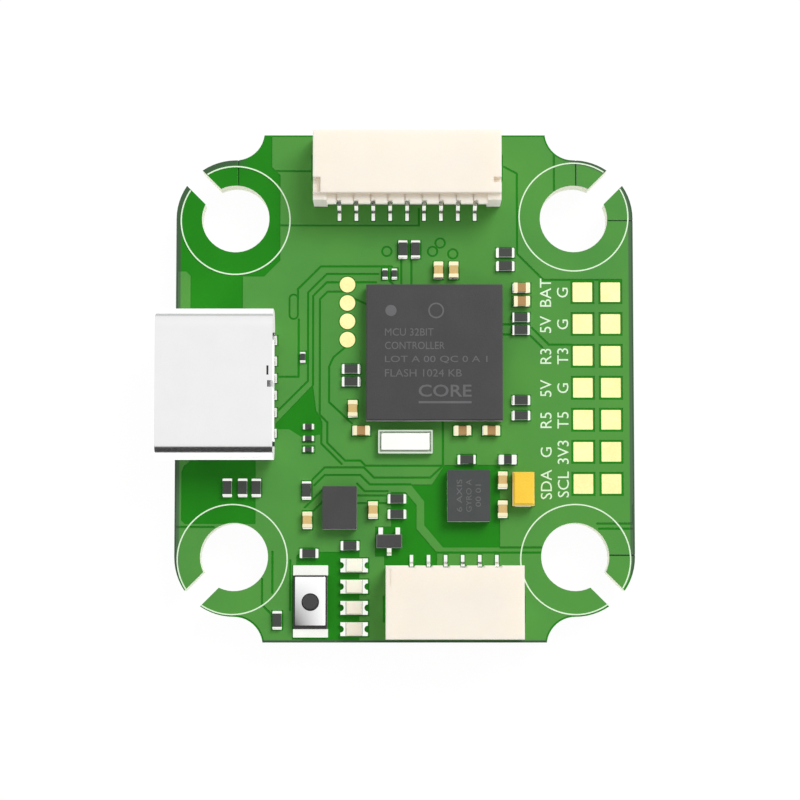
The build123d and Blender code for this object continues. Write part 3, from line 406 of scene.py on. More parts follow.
# %% Sintered ceramic in two browns
BROWN_ROW, BROWN_ROW_HALF = -2.6 * MM, 0.5 * MM  # the Y of the browner row, and half its height
BROWN_CORNER = (6.3 * MM, 4.5 * MM)  # past this X and this Y, they are browner too
ceramic = new_material("sintered_capacitor_ceramic")
place = add_node(ceramic, "ShaderNodeTexCoord").outputs["Object"]
axes = add_node(ceramic, "ShaderNodeSeparateXYZ", {0: place})
in_row = add_node(
    ceramic,
    "ShaderNodeMath",
    {0: axes.outputs[1], 1: BROWN_ROW, 2: BROWN_ROW_HALF},
    operation="COMPARE",
)
right_side = add_node(
    ceramic, "ShaderNodeMath", {0: axes.outputs[0], 1: BROWN_CORNER[0]}, operation="GREATER_THAN"
)
upper_part = add_node(
    ceramic, "ShaderNodeMath", {0: axes.outputs[1], 1: BROWN_CORNER[1]}, operation="GREATER_THAN"
)
corner = add_node(
    ceramic,
    "ShaderNodeMath",
    {0: right_side.outputs[0], 1: upper_part.outputs[0]},
    operation="MULTIPLY",
)
browner = add_node(
    ceramic, "ShaderNodeMath", {0: in_row.outputs[0], 1: corner.outputs[0]}, operation="MAXIMUM"
)
grain = add_node(
    ceramic, "ShaderNodeTexNoise", {"Vector": place, "Scale": 1 / (0.08 * MM), "Detail": 3.0}
)
tan = add_node(
    ceramic,
    "ShaderNodeMix",
    {0: grain.outputs[0], 6: linear("#cba862"), 7: linear("#dec080")},
    data_type="RGBA",
)
brown = add_node(
    ceramic,
    "ShaderNodeMix",
    {0: grain.outputs[0], 6: linear("#9f7640"), 7: linear("#b89056")},
    data_type="RGBA",
)
fired = add_node(
    ceramic,
    "ShaderNodeMix",
    {0: browner.outputs[0], 6: tan.outputs[2], 7: brown.outputs[2]},
    data_type="RGBA",
)
pits = add_node(
    ceramic, "ShaderNodeBump", {"Height": grain.outputs[0], "Strength": 1.0, "Distance": 3 * UM}
)
surface = add_node(
    ceramic,
    "ShaderNodeBsdfPrincipled",
    {"Base Color": fired.outputs[2], "Roughness": 0.42, "Normal": pits.outputs[0]},
)
add_node(ceramic, "ShaderNodeOutputMaterial", {"Surface": surface.outputs[0]})
print(ceramic.name)

# %% [markdown]
# The other finishes are all fine-grained. Metals keep the default IOR and take their look from what
# they reflect; they differ in tone, and in how rough the plating came out. The end caps of the
# capacitors are plated apart from the rest and have yellowed.

# %% Metals
gold_flash = grained(
    "immersion_gold", "#f3e7a0", "#fdf3b4", 0.12, 1.0, Metallic=1.0, Roughness=0.32
)
bright_tin = grained(
    "bright_tin_plate", "#f2f4ec", "#fdfff8", 0.06, 0.8, Metallic=1.0, Roughness=0.2
)
aged_tin = grained("aged_tin_plate", "#e8dfb6", "#f2eac8", 0.06, 1.2, Metallic=1.0, Roughness=0.3)
solder_metal = grained(
    "reflowed_solder", "#dcdcd8", "#f0f0ec", 0.15, 2.0, Metallic=1.0, Roughness=0.22
)
shell_nickel = grained(
    "nickel_plated_drawn_steel", "#ededed", "#f0f0f0", 0.04, 0.02, Metallic=1.0, Roughness=0.16
)
lid_alloy = grained(
    "seam_welded_lid_alloy", "#f2f2ec", "#fafaf4", 0.1, 0.8, Metallic=1.0, Roughness=0.3
)
stamped_steel = grained(
    "stamped_stainless_steel", "#e4e4e6", "#f2f2f4", 0.12, 1.0, Metallic=1.0, Roughness=0.3
)
print("metals ready")

# %% [markdown]
# Moulded epoxy is filled with glass dust, so it is matt and slightly rough, and so is fired
# ceramic. A resistor's glaze is smoother. Natural nylon is milky: light scatters a millimetre deep
# in it before it comes out again, which keeps its shaded walls bright. That is what the subsurface
# settings are for.

# %% Mouldings, glazes and ceramics
chip_epoxy = grained("moulded_chip_epoxy", "#2c2b2c", "#343334", 0.07, 4.0, Roughness=0.55)
sensor_epoxy = grained("sensor_package_epoxy", "#2c3130", "#343938", 0.06, 3.0, Roughness=0.5)
package_substrate = grained("package_substrate", "#1d4a24", "#285a2e", 0.1, 1.0, Roughness=0.4)
resistor_glaze = grained("resistor_glaze", "#272c27", "#313631", 0.05, 1.5, Roughness=0.35)
ferrite = grained("pressed_ferrite", "#1e1e1f", "#29292a", 0.05, 3.0, Roughness=0.5)
crystal_tray = grained("fired_ceramic_tray", "#c9d8c5", "#d6e2d2", 0.06, 2.0, Roughness=0.5)
led_tray = grained("led_base_laminate", "#e6ecd8", "#f0f4e4", 0.08, 1.5, Roughness=0.45)
tantalum_epoxy = grained("yellow_moulded_epoxy", "#f2c22b", "#fbcf37", 0.08, 2.0, Roughness=0.4)
natural_nylon = grained(
    "natural_nylon",
    "#f6eadb",
    "#f9eddf",
    0.12,
    1.0,
    Roughness=0.42,
    Subsurface_Weight=0.5,
    Subsurface_Radius=(1.0, 0.9, 0.75),
    Subsurface_Scale=1.0 * MM,
)
black_polymer = grained(
    "black_liquid_crystal_polymer", "#151515", "#1e1e1e", 0.1, 2.0, Roughness=0.45
)
button_nylon = grained("black_nylon", "#060606", "#0d0d0d", 0.08, 2.0, Roughness=0.45)
plunger_nylon = grained("dark_grey_nylon", "#282627", "#312f30", 0.08, 2.0, Roughness=0.45)
print("mouldings ready")

# %% [markdown]
# The LEDs' lenses are milky epoxy over dies of two colours: the pair nearer the middle of the board
# is a greenish white, and the pair nearer the edge is a pinkish white. The lenses share one CAD
# node, so the tone follows the place along the row.

# %% Milky epoxy of the LED lenses
lens_low, lens_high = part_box("led_lenses")
led_dome = new_material("milky_led_epoxy")
place = add_node(led_dome, "ShaderNodeTexCoord").outputs["Object"]
axes = add_node(led_dome, "ShaderNodeSeparateXYZ", {0: place})
along_row = add_node(
    led_dome,
    "ShaderNodeMapRange",
    {"Value": axes.outputs[1], "From Min": lens_low.y, "From Max": lens_high.y},
)
milk = add_node(
    led_dome,
    "ShaderNodeMix",
    {0: along_row.outputs[0], 6: linear("#eae0cf"), 7: linear("#fafae6")},
    data_type="RGBA",
)
cloud = add_node(
    led_dome, "ShaderNodeTexNoise", {"Vector": place, "Scale": 1 / (0.2 * MM), "Detail": 2.0}
)
swirl = add_node(
    led_dome, "ShaderNodeBump", {"Height": cloud.outputs[0], "Strength": 1.0, "Distance": 0.8 * UM}
)
surface = add_node(
    led_dome,
    "ShaderNodeBsdfPrincipled",
    {
        "Base Color": milk.outputs[2],
        "Normal": swirl.outputs[0],
        "Roughness": 0.25,
        "Subsurface Weight": 0.3,
        "Subsurface Scale": 0.3 * MM,
        "Coat Weight": 0.3,
    },
)
add_node(led_dome, "ShaderNodeOutputMaterial", {"Surface": surface.outputs[0]})
print(led_dome.name)

# %% [markdown]
# The button's cover is stamped from stainless strip. Its slight crown would reflect the room from
# bright to dim, and that reflection is painted: the sheet runs from near white to a mid grey at one
# corner. The product of two ramps makes that corner.

# %% Steel of the button's cover, with a painted reflection
PAINTED_CORNER_FALLOFF = 1.1  # over 1, the painted dark corner draws in
cover_low, cover_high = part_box("button_cover")
cover_steel = new_material("stainless_steel_painted_reflection")
place = add_node(cover_steel, "ShaderNodeTexCoord").outputs["Object"]
axes = add_node(cover_steel, "ShaderNodeSeparateXYZ", {0: place})
leftward = add_node(
    cover_steel,
    "ShaderNodeMapRange",
    {"Value": axes.outputs[0], "From Min": cover_high.x, "From Max": cover_low.x},
)
downward = add_node(
    cover_steel,
    "ShaderNodeMapRange",
    {"Value": axes.outputs[1], "From Min": cover_high.y, "From Max": cover_low.y},
)
corner = add_node(
    cover_steel,
    "ShaderNodeMath",
    {0: leftward.outputs[0], 1: downward.outputs[0]},
    operation="MULTIPLY",
)
painted_dark_share = add_node(
    cover_steel, "ShaderNodeMath", {0: corner.outputs[0], 1: PAINTED_CORNER_FALLOFF}, operation="POWER"
)
# Painted reflection: near white, dimming to mid grey at the low-X, low-Y corner.
sheet = add_node(
    cover_steel,
    "ShaderNodeMix",
    {0: painted_dark_share.outputs[0], 6: linear("#fefefe"), 7: linear("#6c6c6e")},
    data_type="RGBA",
)
scratches = add_node(
    cover_steel, "ShaderNodeTexNoise", {"Vector": place, "Scale": 1 / (0.05 * MM), "Detail": 2.0}
)
rub = add_node(
    cover_steel,
    "ShaderNodeBump",
    {"Height": scratches.outputs[0], "Strength": 1.0, "Distance": 0.1 * UM},
)
surface = add_node(
    cover_steel,
    "ShaderNodeBsdfPrincipled",
    {
        "Base Color": sheet.outputs[2],
        "Normal": rub.outputs[0],
        "Metallic": 1.0,
        "Roughness": 0.25,
    },
)
add_node(cover_steel, "ShaderNodeOutputMaterial", {"Surface": surface.outputs[0]})
print(cover_steel.name)

# %% [markdown]
# Each CAD node is one kind of part, so it gets one finish. The list reads like the purchasing list
# of the board: a finish, then the parts that are made of it. Anything left out of the list is
# printed at the end.

# %% Give every CAD node its finish
FINISHES = {
    mask_on_laminate: ["circuit_board"],
    mask_on_copper: ["top_copper", "bottom_copper"],
    gold_flash: [
        "solder_pads",
        "test_pads",
        "barometer_lands",
        "motion_sensor_lands",
        "flash_memory_lands",
        "crystal_lands",
    ],
    aged_tin: ["capacitor_end_caps"],
    bright_tin: [
        "buck_regulator_leads",
        "bulk_capacitor_end_caps",
        "button_terminals",
        "led_terminals",
        "ferrite_bead_end_caps",
        "inductor_terminals",
        "linear_regulator_leads",
        "nine_way_anchors",
        "nine_way_contacts",
        "resistor_end_caps",
        "six_way_anchors",
        "six_way_contacts",
        "small_resistor_end_caps",
        "tantalum_terminals",
        "transistor_leads",
        "underside_capacitor_end_caps",
        "underside_resistor_end_caps",
        "usb_contacts",
    ],
    solder_metal: ["processor_balls"],
    chip_epoxy: [
        "processor_mould",
        "buck_regulators",
        "flash_memory",
        "linear_regulator",
        "transistor_body",
        "barometer",
    ],
    sensor_epoxy: ["motion_sensor"],
    package_substrate: ["processor_substrate"],
    ceramic: ["capacitor_bodies", "bulk_capacitors", "underside_capacitors"],
    resistor_glaze: ["resistor_bodies", "small_resistor_bodies", "underside_resistors"],
    ferrite: ["ferrite_bead_body", "power_inductors"],
    crystal_tray: ["crystal_base"],
    lid_alloy: ["crystal_lid"],
    led_tray: ["led_bases"],
    led_dome: ["led_lenses"],
    tantalum_epoxy: ["tantalum_body"],
    natural_nylon: ["nine_way_housing", "six_way_housing"],
    shell_nickel: ["usb_shell"],
    black_polymer: ["usb_insulator"],
    button_nylon: ["button_housing"],
    stamped_steel: ["button_dome"],
    cover_steel: ["button_cover"],
    plunger_nylon: ["button_plunger"],
}
for material, names in FINISHES.items():
    for name in names:
        nodes[name].data.materials.clear()
        nodes[name].data.materials.append(material)
unfinished = set(nodes) - {name for names in FINISHES.values() for name in names}
print("nodes without a finish:", sorted(unfinished))

# %% [markdown]
# A shiny shell close to a green board picks up so much green that its plating stops reading as
# bright metal. In a studio, white paper is laid round the part to keep that out. Here the board,
# its foils and the dark resistors beside the receptacle are simply left out of reflections, so the
# receptacle reflects the white table.

# %% Keep the board out of the reflections
UNREFLECTED = ("circuit_board", "top_copper", "bottom_copper", "resistor_bodies")
for name in UNREFLECTED:
    nodes[name].visible_glossy = False
print("hidden from glossy rays:", *UNREFLECTED)

# %% [markdown]
# ## Printed ink
# The legend on a board is white epoxy ink, pressed through a screen as a layer about 0.02 mm thick.
# It stands on the lacquer, so it is modelled as very low solids. Each printed ring round a hole
# starts as a filled circle: an inset of the line's width leaves the ring, the part across the ear's
# slot is deleted, and the rest is extruded to its thickness.

# %% Ink and the selection helpers
screen_ink = grained("white_screen_ink", "#d3ecc9", "#e2f6da", 0.1, 1.0, Roughness=0.55)
INK_THICKNESS = 0.015 * MM
INK_TOP = FOIL_TOP + INK_THICKNESS


def clear_selection():
    """Leaves edit mode and deselects everything, so that an operator acts only on a new piece."""
    if bpy.context.object and bpy.context.object.mode != "OBJECT":
        bpy.ops.object.mode_set(mode="OBJECT")
    bpy.ops.object.select_all(action="DESELECT")


def select_faces(piece, wanted):
    """In edit mode, selects only the faces that `wanted` accepts."""
    mesh = bmesh.from_edit_mesh(piece.data)
    bpy.ops.mesh.select_all(action="DESELECT")
    for face in mesh.faces:
        if wanted(face):
            face.select_set(True)
    mesh.select_flush_mode()
    bmesh.update_edit_mesh(piece.data)


def settle(piece, name, material, body="board"):
    """Puts a finished piece's place into its mesh, and gives it its name, finish and body."""
    clear_selection()
    piece.select_set(True)
    bpy.context.view_layer.objects.active = piece
    bpy.ops.object.transform_apply(location=True, rotation=True, scale=True)
    piece.name = piece.data.name = name
    piece.data.materials.clear()
    piece.data.materials.append(material)
    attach(piece, body)
    clear_selection()
    return piece


def gather(pieces, name, material):
    """Joins flat or copied pieces into one named piece."""
    clear_selection()
    for piece in pieces:
        piece.select_set(True)
    bpy.context.view_layer.objects.active = pieces[0]
    if len(pieces) > 1:
        bpy.ops.object.join()
    return settle(bpy.context.object, name, material)


print("ink stands", round((INK_TOP - BOARD_TOP) / MM, 3), "mm above the laminate")

# %% [markdown]
# A ring marks how far the rubber grommet's flange reaches, so nothing is placed inside it. It stops
# where the ear is slotted, and where the connector stands on the board. One helper draws it, and
# the same helper draws the small disc and ring on the processor later.

# %% The ring and disc helper
RING_CORNERS, SMALL_CORNERS = 160, 32  # how many sides a circle has round a hole, and on a chip


def flat_ring(radius, line, centre, thickness, unwanted=None):
    """A flat ring standing on a point, or a disc where no line width is given.

    `unwanted` says which spots to cut out of a large ring."""
    clear_selection()
    bpy.ops.mesh.primitive_circle_add(
        vertices=RING_CORNERS if unwanted else SMALL_CORNERS,
        radius=radius + (line or 0) / 2,
        fill_type="NGON",
        location=centre,
    )
    piece = bpy.context.object
    bpy.ops.object.mode_set(mode="EDIT")
    bpy.ops.mesh.select_all(action="SELECT")
    if line:
        bpy.ops.mesh.inset(thickness=line)
        bpy.ops.mesh.delete(type="FACE")
    if unwanted:
        select_faces(piece, lambda face: unwanted(face.calc_center_median() + centre))
        bpy.ops.mesh.delete(type="FACE")
    bpy.ops.mesh.select_all(action="SELECT")
    bpy.ops.mesh.extrude_region_move(TRANSFORM_OT_translate={"value": (0, 0, thickness)})
    bpy.ops.mesh.select_all(action="SELECT")
    bpy.ops.mesh.normals_make_consistent(inside=False)
    bpy.ops.object.mode_set(mode="OBJECT")
    bpy.ops.object.transform_apply(location=True, rotation=True, scale=True)
    return piece


print("a ring has", RING_CORNERS, "sides")

# %% Printed rings round the mounting holes
RING_RADIUS, RING_LINE = 3.22 * MM, 0.078 * MM
SLOT_HALF = 0.65 * MM
# Each ring was printed a little off its hole, as screens are.
RING_SHIFTS = {
    (-1, 1): (0, -0.1),
    (1, 1): (0, 0.1),
    (-1, -1): (-0.1, -0.15),
    (1, -1): (0.02, -0.15),
}
connector_low, connector_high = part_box("six_way_housing")
rings = []
for (across, along), (shift_x, shift_y) in RING_SHIFTS.items():
    hole = Vector((across * HOLE_OFFSET, along * HOLE_OFFSET, 0))
    centre = Vector((hole.x + shift_x * MM, hole.y + shift_y * MM, BOARD_TOP))
    outward = Vector((across, along, 0)).normalized()
    sideways = Vector((-outward.y, outward.x, 0))

    def off_the_board(spot):
        in_slot = (
            abs((spot - hole).dot(sideways)) < SLOT_HALF and (spot - hole).dot(outward) > 0
        )
        under_connector = (
            connector_low.x < spot.x < connector_high.x and spot.y < connector_high.y
        )
        return in_slot or under_connector

    ring = flat_ring(RING_RADIUS, RING_LINE, centre, INK_TOP - BOARD_TOP, off_the_board)
    rings.append(ring)
printed_rings = gather(rings, "printed_rings", screen_ink)
print(printed_rings.name, len(printed_rings.data.polygons), "faces")

# %% [markdown]
# The legends beside the pads are only the names of what each pad carries. Blender's text object
# draws them, a mesh is made of it, and the letters are then brought to the printed height and
# turned to read up the board.


# %% The lettering helper
def lettering(words, height, centre, turn, thickness, width=None, weight=0.0):
    """Text as a closed mesh: `height` tall, centred on a point, turned about Z, standing on it.

    `width` stretches the line to a length, and `weight` thickens its strokes."""
    clear_selection()
    bpy.ops.object.text_add(location=(0, 0, 0))
    text = bpy.context.object
    text.data.body = words
    text.data.align_x = text.data.align_y = "CENTER"
    text.data.resolution_u = 3
    text.data.offset = weight
    text.data.extrude = 0.05
    bpy.ops.object.convert(target="MESH")
    letters = bpy.context.object
    corners = [v.co for v in letters.data.vertices]
    low = Vector([min(c[i] for c in corners) for i in range(3)])
    high = Vector([max(c[i] for c in corners) for i in range(3)])
    foot = Vector(((low.x + high.x) / 2, (low.y + high.y) / 2, low.z))
    size = height / (high.y - low.y)
    widen = width / (high.x - low.x) if width else size
    stretch = Matrix.Diagonal((widen, size, thickness / (high.z - low.z), 1))
    letters.data.transform(Matrix.Translation(-foot))
    letters.data.transform(Matrix.Translation(centre) @ Matrix.Rotation(turn, 4, "Z") @ stretch)
    return letters


print("letters are drawn, measured and then sized")

# %% Legends beside the solder pads
PADS_PER_COLUMN = 7
LEGEND_HEIGHT, LEGEND_DROP = 0.66 * MM, 0.03 * MM
QUARTER_TURN = math.pi / 2
PAD_NAMES = {  # the X of each column of words, and its words from the lowest Y up
    8.32 * MM: ["BAT", "5V", "R3", "5V", "R5", "G", "SDA"],
    9.32 * MM: ["G", "G", "T3", "G", "T5", "3V3", "SCL"],
}
pads = sorted(solids_of("solder_pads"), key=lambda b: (round(b[0].x, 4), -b[0].y))
pad_rows = [(low.y + high.y) / 2 for low, high in pads[:PADS_PER_COLUMN]]
legends = []
for x, words in PAD_NAMES.items():
    for word, y in zip(words, pad_rows):
        spot = Vector((x, y - LEGEND_DROP, FOIL_TOP))
        legends.append(lettering(word, LEGEND_HEIGHT, spot, QUARTER_TURN, INK_THICKNESS))
pad_legends = gather(legends, "pad_legends", screen_ink)
print(pad_legends.name, len(pad_legends.data.polygons), "faces")

# %% [markdown]
# ## Laser marks
# A laser burns the top of a moulded package to a paler grey, in thin strokes that say what the part
# is and which lot it came from. The marks here are plain words of that kind, laid on the package as
# very low solids.

# %% Marks on the processor
laser_mark = grained("laser_bleached_epoxy", "#565557", "#605f61", 0.05, 1.0, Roughness=0.6)
MARK_DEPTH = 0.004 * MM
mould_low, mould_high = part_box("processor_mould")
mould_middle = (mould_low + mould_high) / 2
MARK_LEFT = mould_low.x + 1.1 * MM
MARK_HEIGHT = 0.44 * MM
MARK_ROWS = [  # words, how far above the package's middle, and width, in millimetres
    ("MCU 32BIT", 1.18, 2.85),
    ("CONTROLLER", 0.39, 3.5),
    ("LOT A 00 QC 0 A 1", -0.44, 6.0),
    ("FLASH 1024 KB", -1.23, 4.5),
]
marks = []
for words, rise, width in MARK_ROWS:
    centre = Vector((MARK_LEFT + width * MM / 2, mould_middle.y + rise * MM, mould_high.z))
    marks.append(lettering(words, MARK_HEIGHT, centre, 0, MARK_DEPTH, width * MM))
big_mark = Vector((mould_middle.x + 0.62 * MM, mould_middle.y - 2.27 * MM, mould_high.z))
underline = big_mark - Vector((0, 0.68 * MM, 0))
BIG_WIDTH, BIG_WEIGHT = 3.1 * MM, 0.012
marks.append(lettering("CORE", 0.72 * MM, big_mark, 0, MARK_DEPTH, BIG_WIDTH, BIG_WEIGHT))
marks.append(lettering("-", 0.13 * MM, underline, 0, MARK_DEPTH, BIG_WIDTH))
pin_dot = Vector((MARK_LEFT + 0.35 * MM, mould_middle.y + 2.45 * MM, mould_high.z))
marks.append(flat_ring(0.33 * MM, None, pin_dot, MARK_DEPTH))
marks.append(flat_ring(0.42 * MM, 0.09 * MM, pin_dot + Vector((2.65 * MM, 0, 0)), MARK_DEPTH))
processor_marks = gather(marks, "processor_marks", laser_mark)
print(processor_marks.name, len(processor_marks.data.polygons), "faces")

# %% [markdown]
# The motion sensor was placed a quarter turn round, so its three short rows read up the board.

# %% Marks on the motion sensor
sensor_low, sensor_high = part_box("motion_sensor")
sensor_middle = (sensor_low + sensor_high) / 2
SENSOR_MARK_HEIGHT = 0.32 * MM
SENSOR_ROWS = [  # words, shift along X, and width, in millimetres
    ("6 AXIS", -0.55, 1.9),
    ("GYRO A", 0.0, 1.9),
    ("00 01", 0.55, 1.3),
]
marks = []
for words, shift, width in SENSOR_ROWS:
    centre = Vector((sensor_middle.x + shift * MM, sensor_middle.y, sensor_high.z))
    marks.append(
        lettering(words, SENSOR_MARK_HEIGHT, centre, QUARTER_TURN, MARK_DEPTH, width * MM)
    )
motion_sensor_marks = gather(marks, "motion_sensor_marks", laser_mark)
print(motion_sensor_marks.name, len(motion_sensor_marks.data.polygons), "faces")

# %% [markdown]
# ## Solder
# Reflowed solder wets the end of each chip and runs down to its land in a hollow curve. One fillet
# is modelled: a cube whose outer top edge gets a wide bevel with a low profile, which makes it
# concave. Copies are then stretched to each chip's end.

# %% One solder fillet
HOLLOW_WIDTH, HOLLOW_PROFILE = 0.86, 0.14
clear_selection()
bpy.ops.mesh.primitive_cube_add(size=1, location=(0.5, 0, 0.5))
fillet = bpy.context.object
bpy.ops.object.transform_apply(location=True)
bpy.ops.object.mode_set(mode="EDIT")
mesh = bmesh.from_edit_mesh(fillet.data)
bpy.ops.mesh.select_all(action="DESELECT")
for edge in mesh.edges:
    if all(v.co.x > 0.9 and v.co.z > 0.9 for v in edge.verts):
        edge.select_set(True)
bmesh.update_edit_mesh(fillet.data)
bpy.ops.mesh.bevel(offset=HOLLOW_WIDTH, segments=4, profile=HOLLOW_PROFILE, affect="EDGES")
bpy.ops.object.mode_set(mode="OBJECT")
print("one fillet has", len(fillet.data.polygons), "faces")

# %% [markdown]
# A chip's end caps say where its two fillets go: each points away from the nearest chip body, and
# those of the underside hang upside down. A mirrored copy has its faces turned inside out, so they
# are flipped back.

# %% A fillet at the end of every chip
FILLET_REACH, FILLET_OVERLAP = 0.055 * MM, 0.03 * MM  # out from the end cap, and into it
FILLET_WIDTH, FILLET_HEIGHT = 0.96, 0.62  # as shares of the end cap
CHIP_ENDS = {
    "resistor_end_caps": "resistor_bodies",
    "small_resistor_end_caps": "small_resistor_bodies",
    "capacitor_end_caps": "capacitor_bodies",
    "ferrite_bead_end_caps": "ferrite_bead_body",
    "bulk_capacitor_end_caps": "bulk_capacitors",
    "underside_capacitor_end_caps": "underside_capacitors",
    "underside_resistor_end_caps": "underside_resistors",
}


def placed_copy(piece, matrix):
    """A copy of a piece with a mesh of its own, which the matrix has put in place."""
    copy = piece.copy()
    copy.data = piece.data.copy()
    bpy.context.scene.collection.objects.link(copy)
    copy.data.transform(matrix)
    return copy


fillets = []
for caps, bodies in CHIP_ENDS.items():
    bodies_at = [(low + high) / 2 for low, high in solids_of(bodies)]
    for low, high in solids_of(caps):
        middle, size = (low + high) / 2, high - low
        body = min(bodies_at, key=lambda b: (b - middle).length)
        lengthwise = 0 if abs(middle.x - body.x) > abs(middle.y - body.y) else 1
        sign = 1 if middle[lengthwise] > body[lengthwise] else -1
        upward = 1 if middle.z > 0 else -1
        foot = middle.copy()
        foot[lengthwise] = high[lengthwise] if sign > 0 else low[lengthwise]
        foot[lengthwise] -= sign * FILLET_OVERLAP
        foot.z = low.z if upward > 0 else high.z
        turn = math.atan2(*((0, sign) if lengthwise == 0 else (sign, 0)))
        width, height = size[1 - lengthwise] * FILLET_WIDTH, size.z * FILLET_HEIGHT
        shape = Matrix.Diagonal((FILLET_REACH, width, height * upward, 1))
        place = Matrix.Translation(foot) @ Matrix.Rotation(turn, 4, "Z")
        copy = placed_copy(fillet, place @ shape)
        if upward < 0:
            copy.data.flip_normals()
        fillets.append(copy)
bpy.data.objects.remove(fillet)
solder_fillets = gather(fillets, "solder_fillets", solder_metal)
print(solder_fillets.name, len(fillets), "fillets")

# %% [markdown]
# The receptacle's four stakes are soldered into slots. Lacquer floods the narrow gap that is left
# round each one, so no light comes up through the board there. Each plug is a thin plate with
# clipped corners, and it is made once and copied to the four slots.

# %% Lacquer in the slots of the receptacle's stakes
STAKE_FROM_FRONT, STAKE_FROM_BACK = 2.9 * MM, 0.9 * MM
STAKE_INSET = 0.175 * MM  # from the shell's side to the middle of a stake
PLUG_SIZE = (1.2 * MM, 0.26 * MM, 0.08 * MM)
PLUG_CORNER = 0.06 * MM
shell_low, shell_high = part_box("usb_shell")
clear_selection()
bpy.ops.mesh.primitive_cube_add(size=1, location=(0, 0, 0))
plug = bpy.context.object
plug.dimensions = PLUG_SIZE
bpy.ops.object.transform_apply(location=True, rotation=True, scale=True)
bpy.ops.object.mode_set(mode="EDIT")
mesh = bmesh.from_edit_mesh(plug.data)
bpy.ops.mesh.select_all(action="DESELECT")
for edge in mesh.edges:
    if abs(edge.verts[0].co.z - edge.verts[1].co.z) > PLUG_SIZE[2] / 2:
        edge.select_set(True)
bmesh.update_edit_mesh(plug.data)
bpy.ops.mesh.bevel(offset=PLUG_CORNER, segments=2, affect="EDGES")
bpy.ops.object.mode_set(mode="OBJECT")
plugs = [
    placed_copy(plug, Matrix.Translation((x, y, BOARD_TOP - PLUG_SIZE[2] / 2)))
    for x in (shell_low.x + STAKE_FROM_FRONT, shell_high.x - STAKE_FROM_BACK)
    for y in (shell_low.y + STAKE_INSET, shell_high.y - STAKE_INSET)
]
bpy.data.objects.remove(plug)
slot_lacquer = gather(plugs, "slot_lacquer", mask_on_laminate)
print(slot_lacquer.name, len(plugs), "plugs")

# %% [markdown]
# ## The studio
# A white table and a white tent: the floor and the world are white to the camera and in
# reflections, and light the board softly. The two need the same question answered about each ray
# of light, so one helper asks it. A little of the table stays plain matt paper, which takes the
# board's shadow. In reflections the table is brighter, which makes up for what plating dims.

# %% Floor
TABLE_GLOW_SHARE = 0.94
TABLE_GLOW, TABLE_GLOW_IN_METAL = 1.02, 1.3
TABLE_GAP = 0.02 * MM  # below the lowest part


def ray_kinds(owner):
    """Two sockets: is this ray seen (straight, mirrored or through glass), and is it mirrored?"""
    path = add_node(owner, "ShaderNodeLightPath")
    seen, mirrored = path.outputs["Is Camera Ray"], path.outputs["Is Glossy Ray"]
    for kind in (mirrored, path.outputs["Is Transmission Ray"]):
        seen = add_node(owner, "ShaderNodeMath", {0: seen, 1: kind}, operation="MAXIMUM").outputs[0]
    return seen, mirrored


low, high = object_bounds()
clear_selection()
bpy.ops.mesh.primitive_plane_add(size=2.0, location=(0, 0, low.z - TABLE_GAP))
floor = bpy.context.object
floor.name = "table"
paper = new_material("white_table_paper")
seen, mirrored = ray_kinds(paper)
share = add_node(paper, "ShaderNodeMath", {0: seen, 1: TABLE_GLOW_SHARE}, operation="MULTIPLY")
matte = add_node(paper, "ShaderNodeBsdfDiffuse", {"Color": linear("#f8f8f8")})
brightness = add_node(
    paper,
    "ShaderNodeMapRange",
    {"Value": mirrored, "To Min": TABLE_GLOW, "To Max": TABLE_GLOW_IN_METAL},
)
glow = add_node(
    paper, "ShaderNodeEmission", {"Color": (1, 1, 1, 1), "Strength": brightness.outputs[0]}
)
mixed = add_node(
    paper,
    "ShaderNodeMixShader",
    {0: share.outputs[0], 1: matte.outputs[0], 2: glow.outputs[0]},
)
add_node(paper, "ShaderNodeOutputMaterial", {"Surface": mixed.outputs[0]})
floor.data.materials.append(paper)
print("table at", round(low.z / MM, 2), "mm")

# %% [markdown]
# The tent is a plain world colour: full white to the camera and in reflections, and a little dimmer
# as a light, so that the shadows of one large lamp, high at the back right, stay visible.

# %% World and lamp
TENT_AS_LIGHT, TENT_SEEN = 0.62, 1.0
world = bpy.data.worlds.new("white_tent")
bpy.context.scene.world = world
world.use_nodes = True
world.node_tree.nodes.clear()
seen, mirrored = ray_kinds(world)
strength = add_node(
    world, "ShaderNodeMapRange", {"Value": seen, "To Min": TENT_AS_LIGHT, "To Max": TENT_SEEN}
)
light = add_node(
    world, "ShaderNodeBackground", {"Color": (1, 1, 1, 1), "Strength": strength.outputs[0]}
)
add_node(world, "ShaderNodeOutputWorld", {"Surface": light.outputs[0]})

clear_selection()
bpy.ops.object.light_add(type="AREA", location=(0.4, 0.5, 0.75))
lamp = bpy.context.object
lamp.name = "softbox"
lamp.data.shape = "DISK"
lamp.data.size = 0.5
lamp.data.energy = 5.9
lamp.rotation_euler = (-lamp.location).to_track_quat("-Z", "Y").to_euler()
print("lamp", round(lamp.location.length, 2), "m from the board")

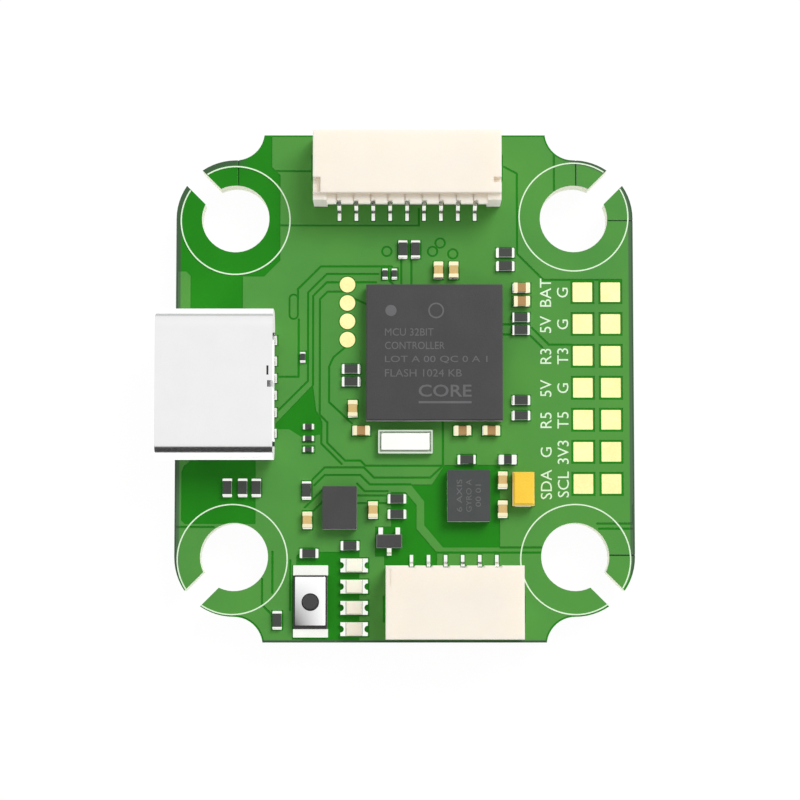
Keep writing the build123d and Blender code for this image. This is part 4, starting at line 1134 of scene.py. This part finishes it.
# %% [markdown]
# Polished metal looks flat in an all-white room, so a studio stands cards round it. Each card is a
# plane that only reflections can see: a tall dark one at the front, which draws the dark line along
# the receptacle's rounded shoulder, and a low pale one at the back, which tones its far side.

# %% Cards for the metal to reflect
CARD_WIDTH = 1.6


def reflection_card(name, y, height, tone):
    """A card that stands on the table and is seen only in reflections."""
    clear_selection()
    bpy.ops.mesh.primitive_plane_add(size=1.0, location=(0, y, height / 2))
    card = bpy.context.object
    card.name = name
    card.scale = (CARD_WIDTH, height, 1)
    card.rotation_euler = (math.radians(90), 0, 0)
    bpy.ops.object.transform_apply(location=True, rotation=True, scale=True)
    felt = new_material(name + "_felt")
    nap = add_node(felt, "ShaderNodeEmission", {"Color": linear(tone), "Strength": 1.0})
    add_node(felt, "ShaderNodeOutputMaterial", {"Surface": nap.outputs[0]})
    card.data.materials.append(felt)
    card.visible_camera = card.visible_diffuse = False
    card.visible_shadow = card.visible_transmission = False
    return card


dark_card = reflection_card("dark_card", -0.6, 0.51, "#474747")
grey_card = reflection_card("grey_card", 0.6, 0.2, "#cfd2cf")
print("cards:", dark_card.name, grey_card.name)

# %% [markdown]
# The camera looks almost straight down, from a hand's breadth and a half away, leaning five degrees
# to the six-way connector's side. That shows the connector's back edges and a sliver of each part's
# near side.

# %% Camera
AIM = Vector((-0.27, -0.77, BOARD_TOP / MM)) * MM
DISTANCE, LEAN = 166 * MM, math.radians(5)
VIEW_ANGLE = math.radians(16.15)
camera_data = bpy.data.cameras.new("camera")
camera = bpy.data.objects.new("camera", camera_data)
bpy.context.scene.collection.objects.link(camera)
camera_data.sensor_width = 36
camera_data.lens = camera_data.sensor_width / 2 / math.tan(VIEW_ANGLE / 2)
camera_data.clip_start = 5 * MM
camera.location = AIM + DISTANCE * Vector((0, -math.sin(LEAN), math.cos(LEAN)))
camera.rotation_euler = (LEAN, 0, 0)
bpy.context.scene.camera = camera
bpy.context.scene.view_settings.view_transform = "Standard"
print("lens", round(camera_data.lens, 1), "mm")
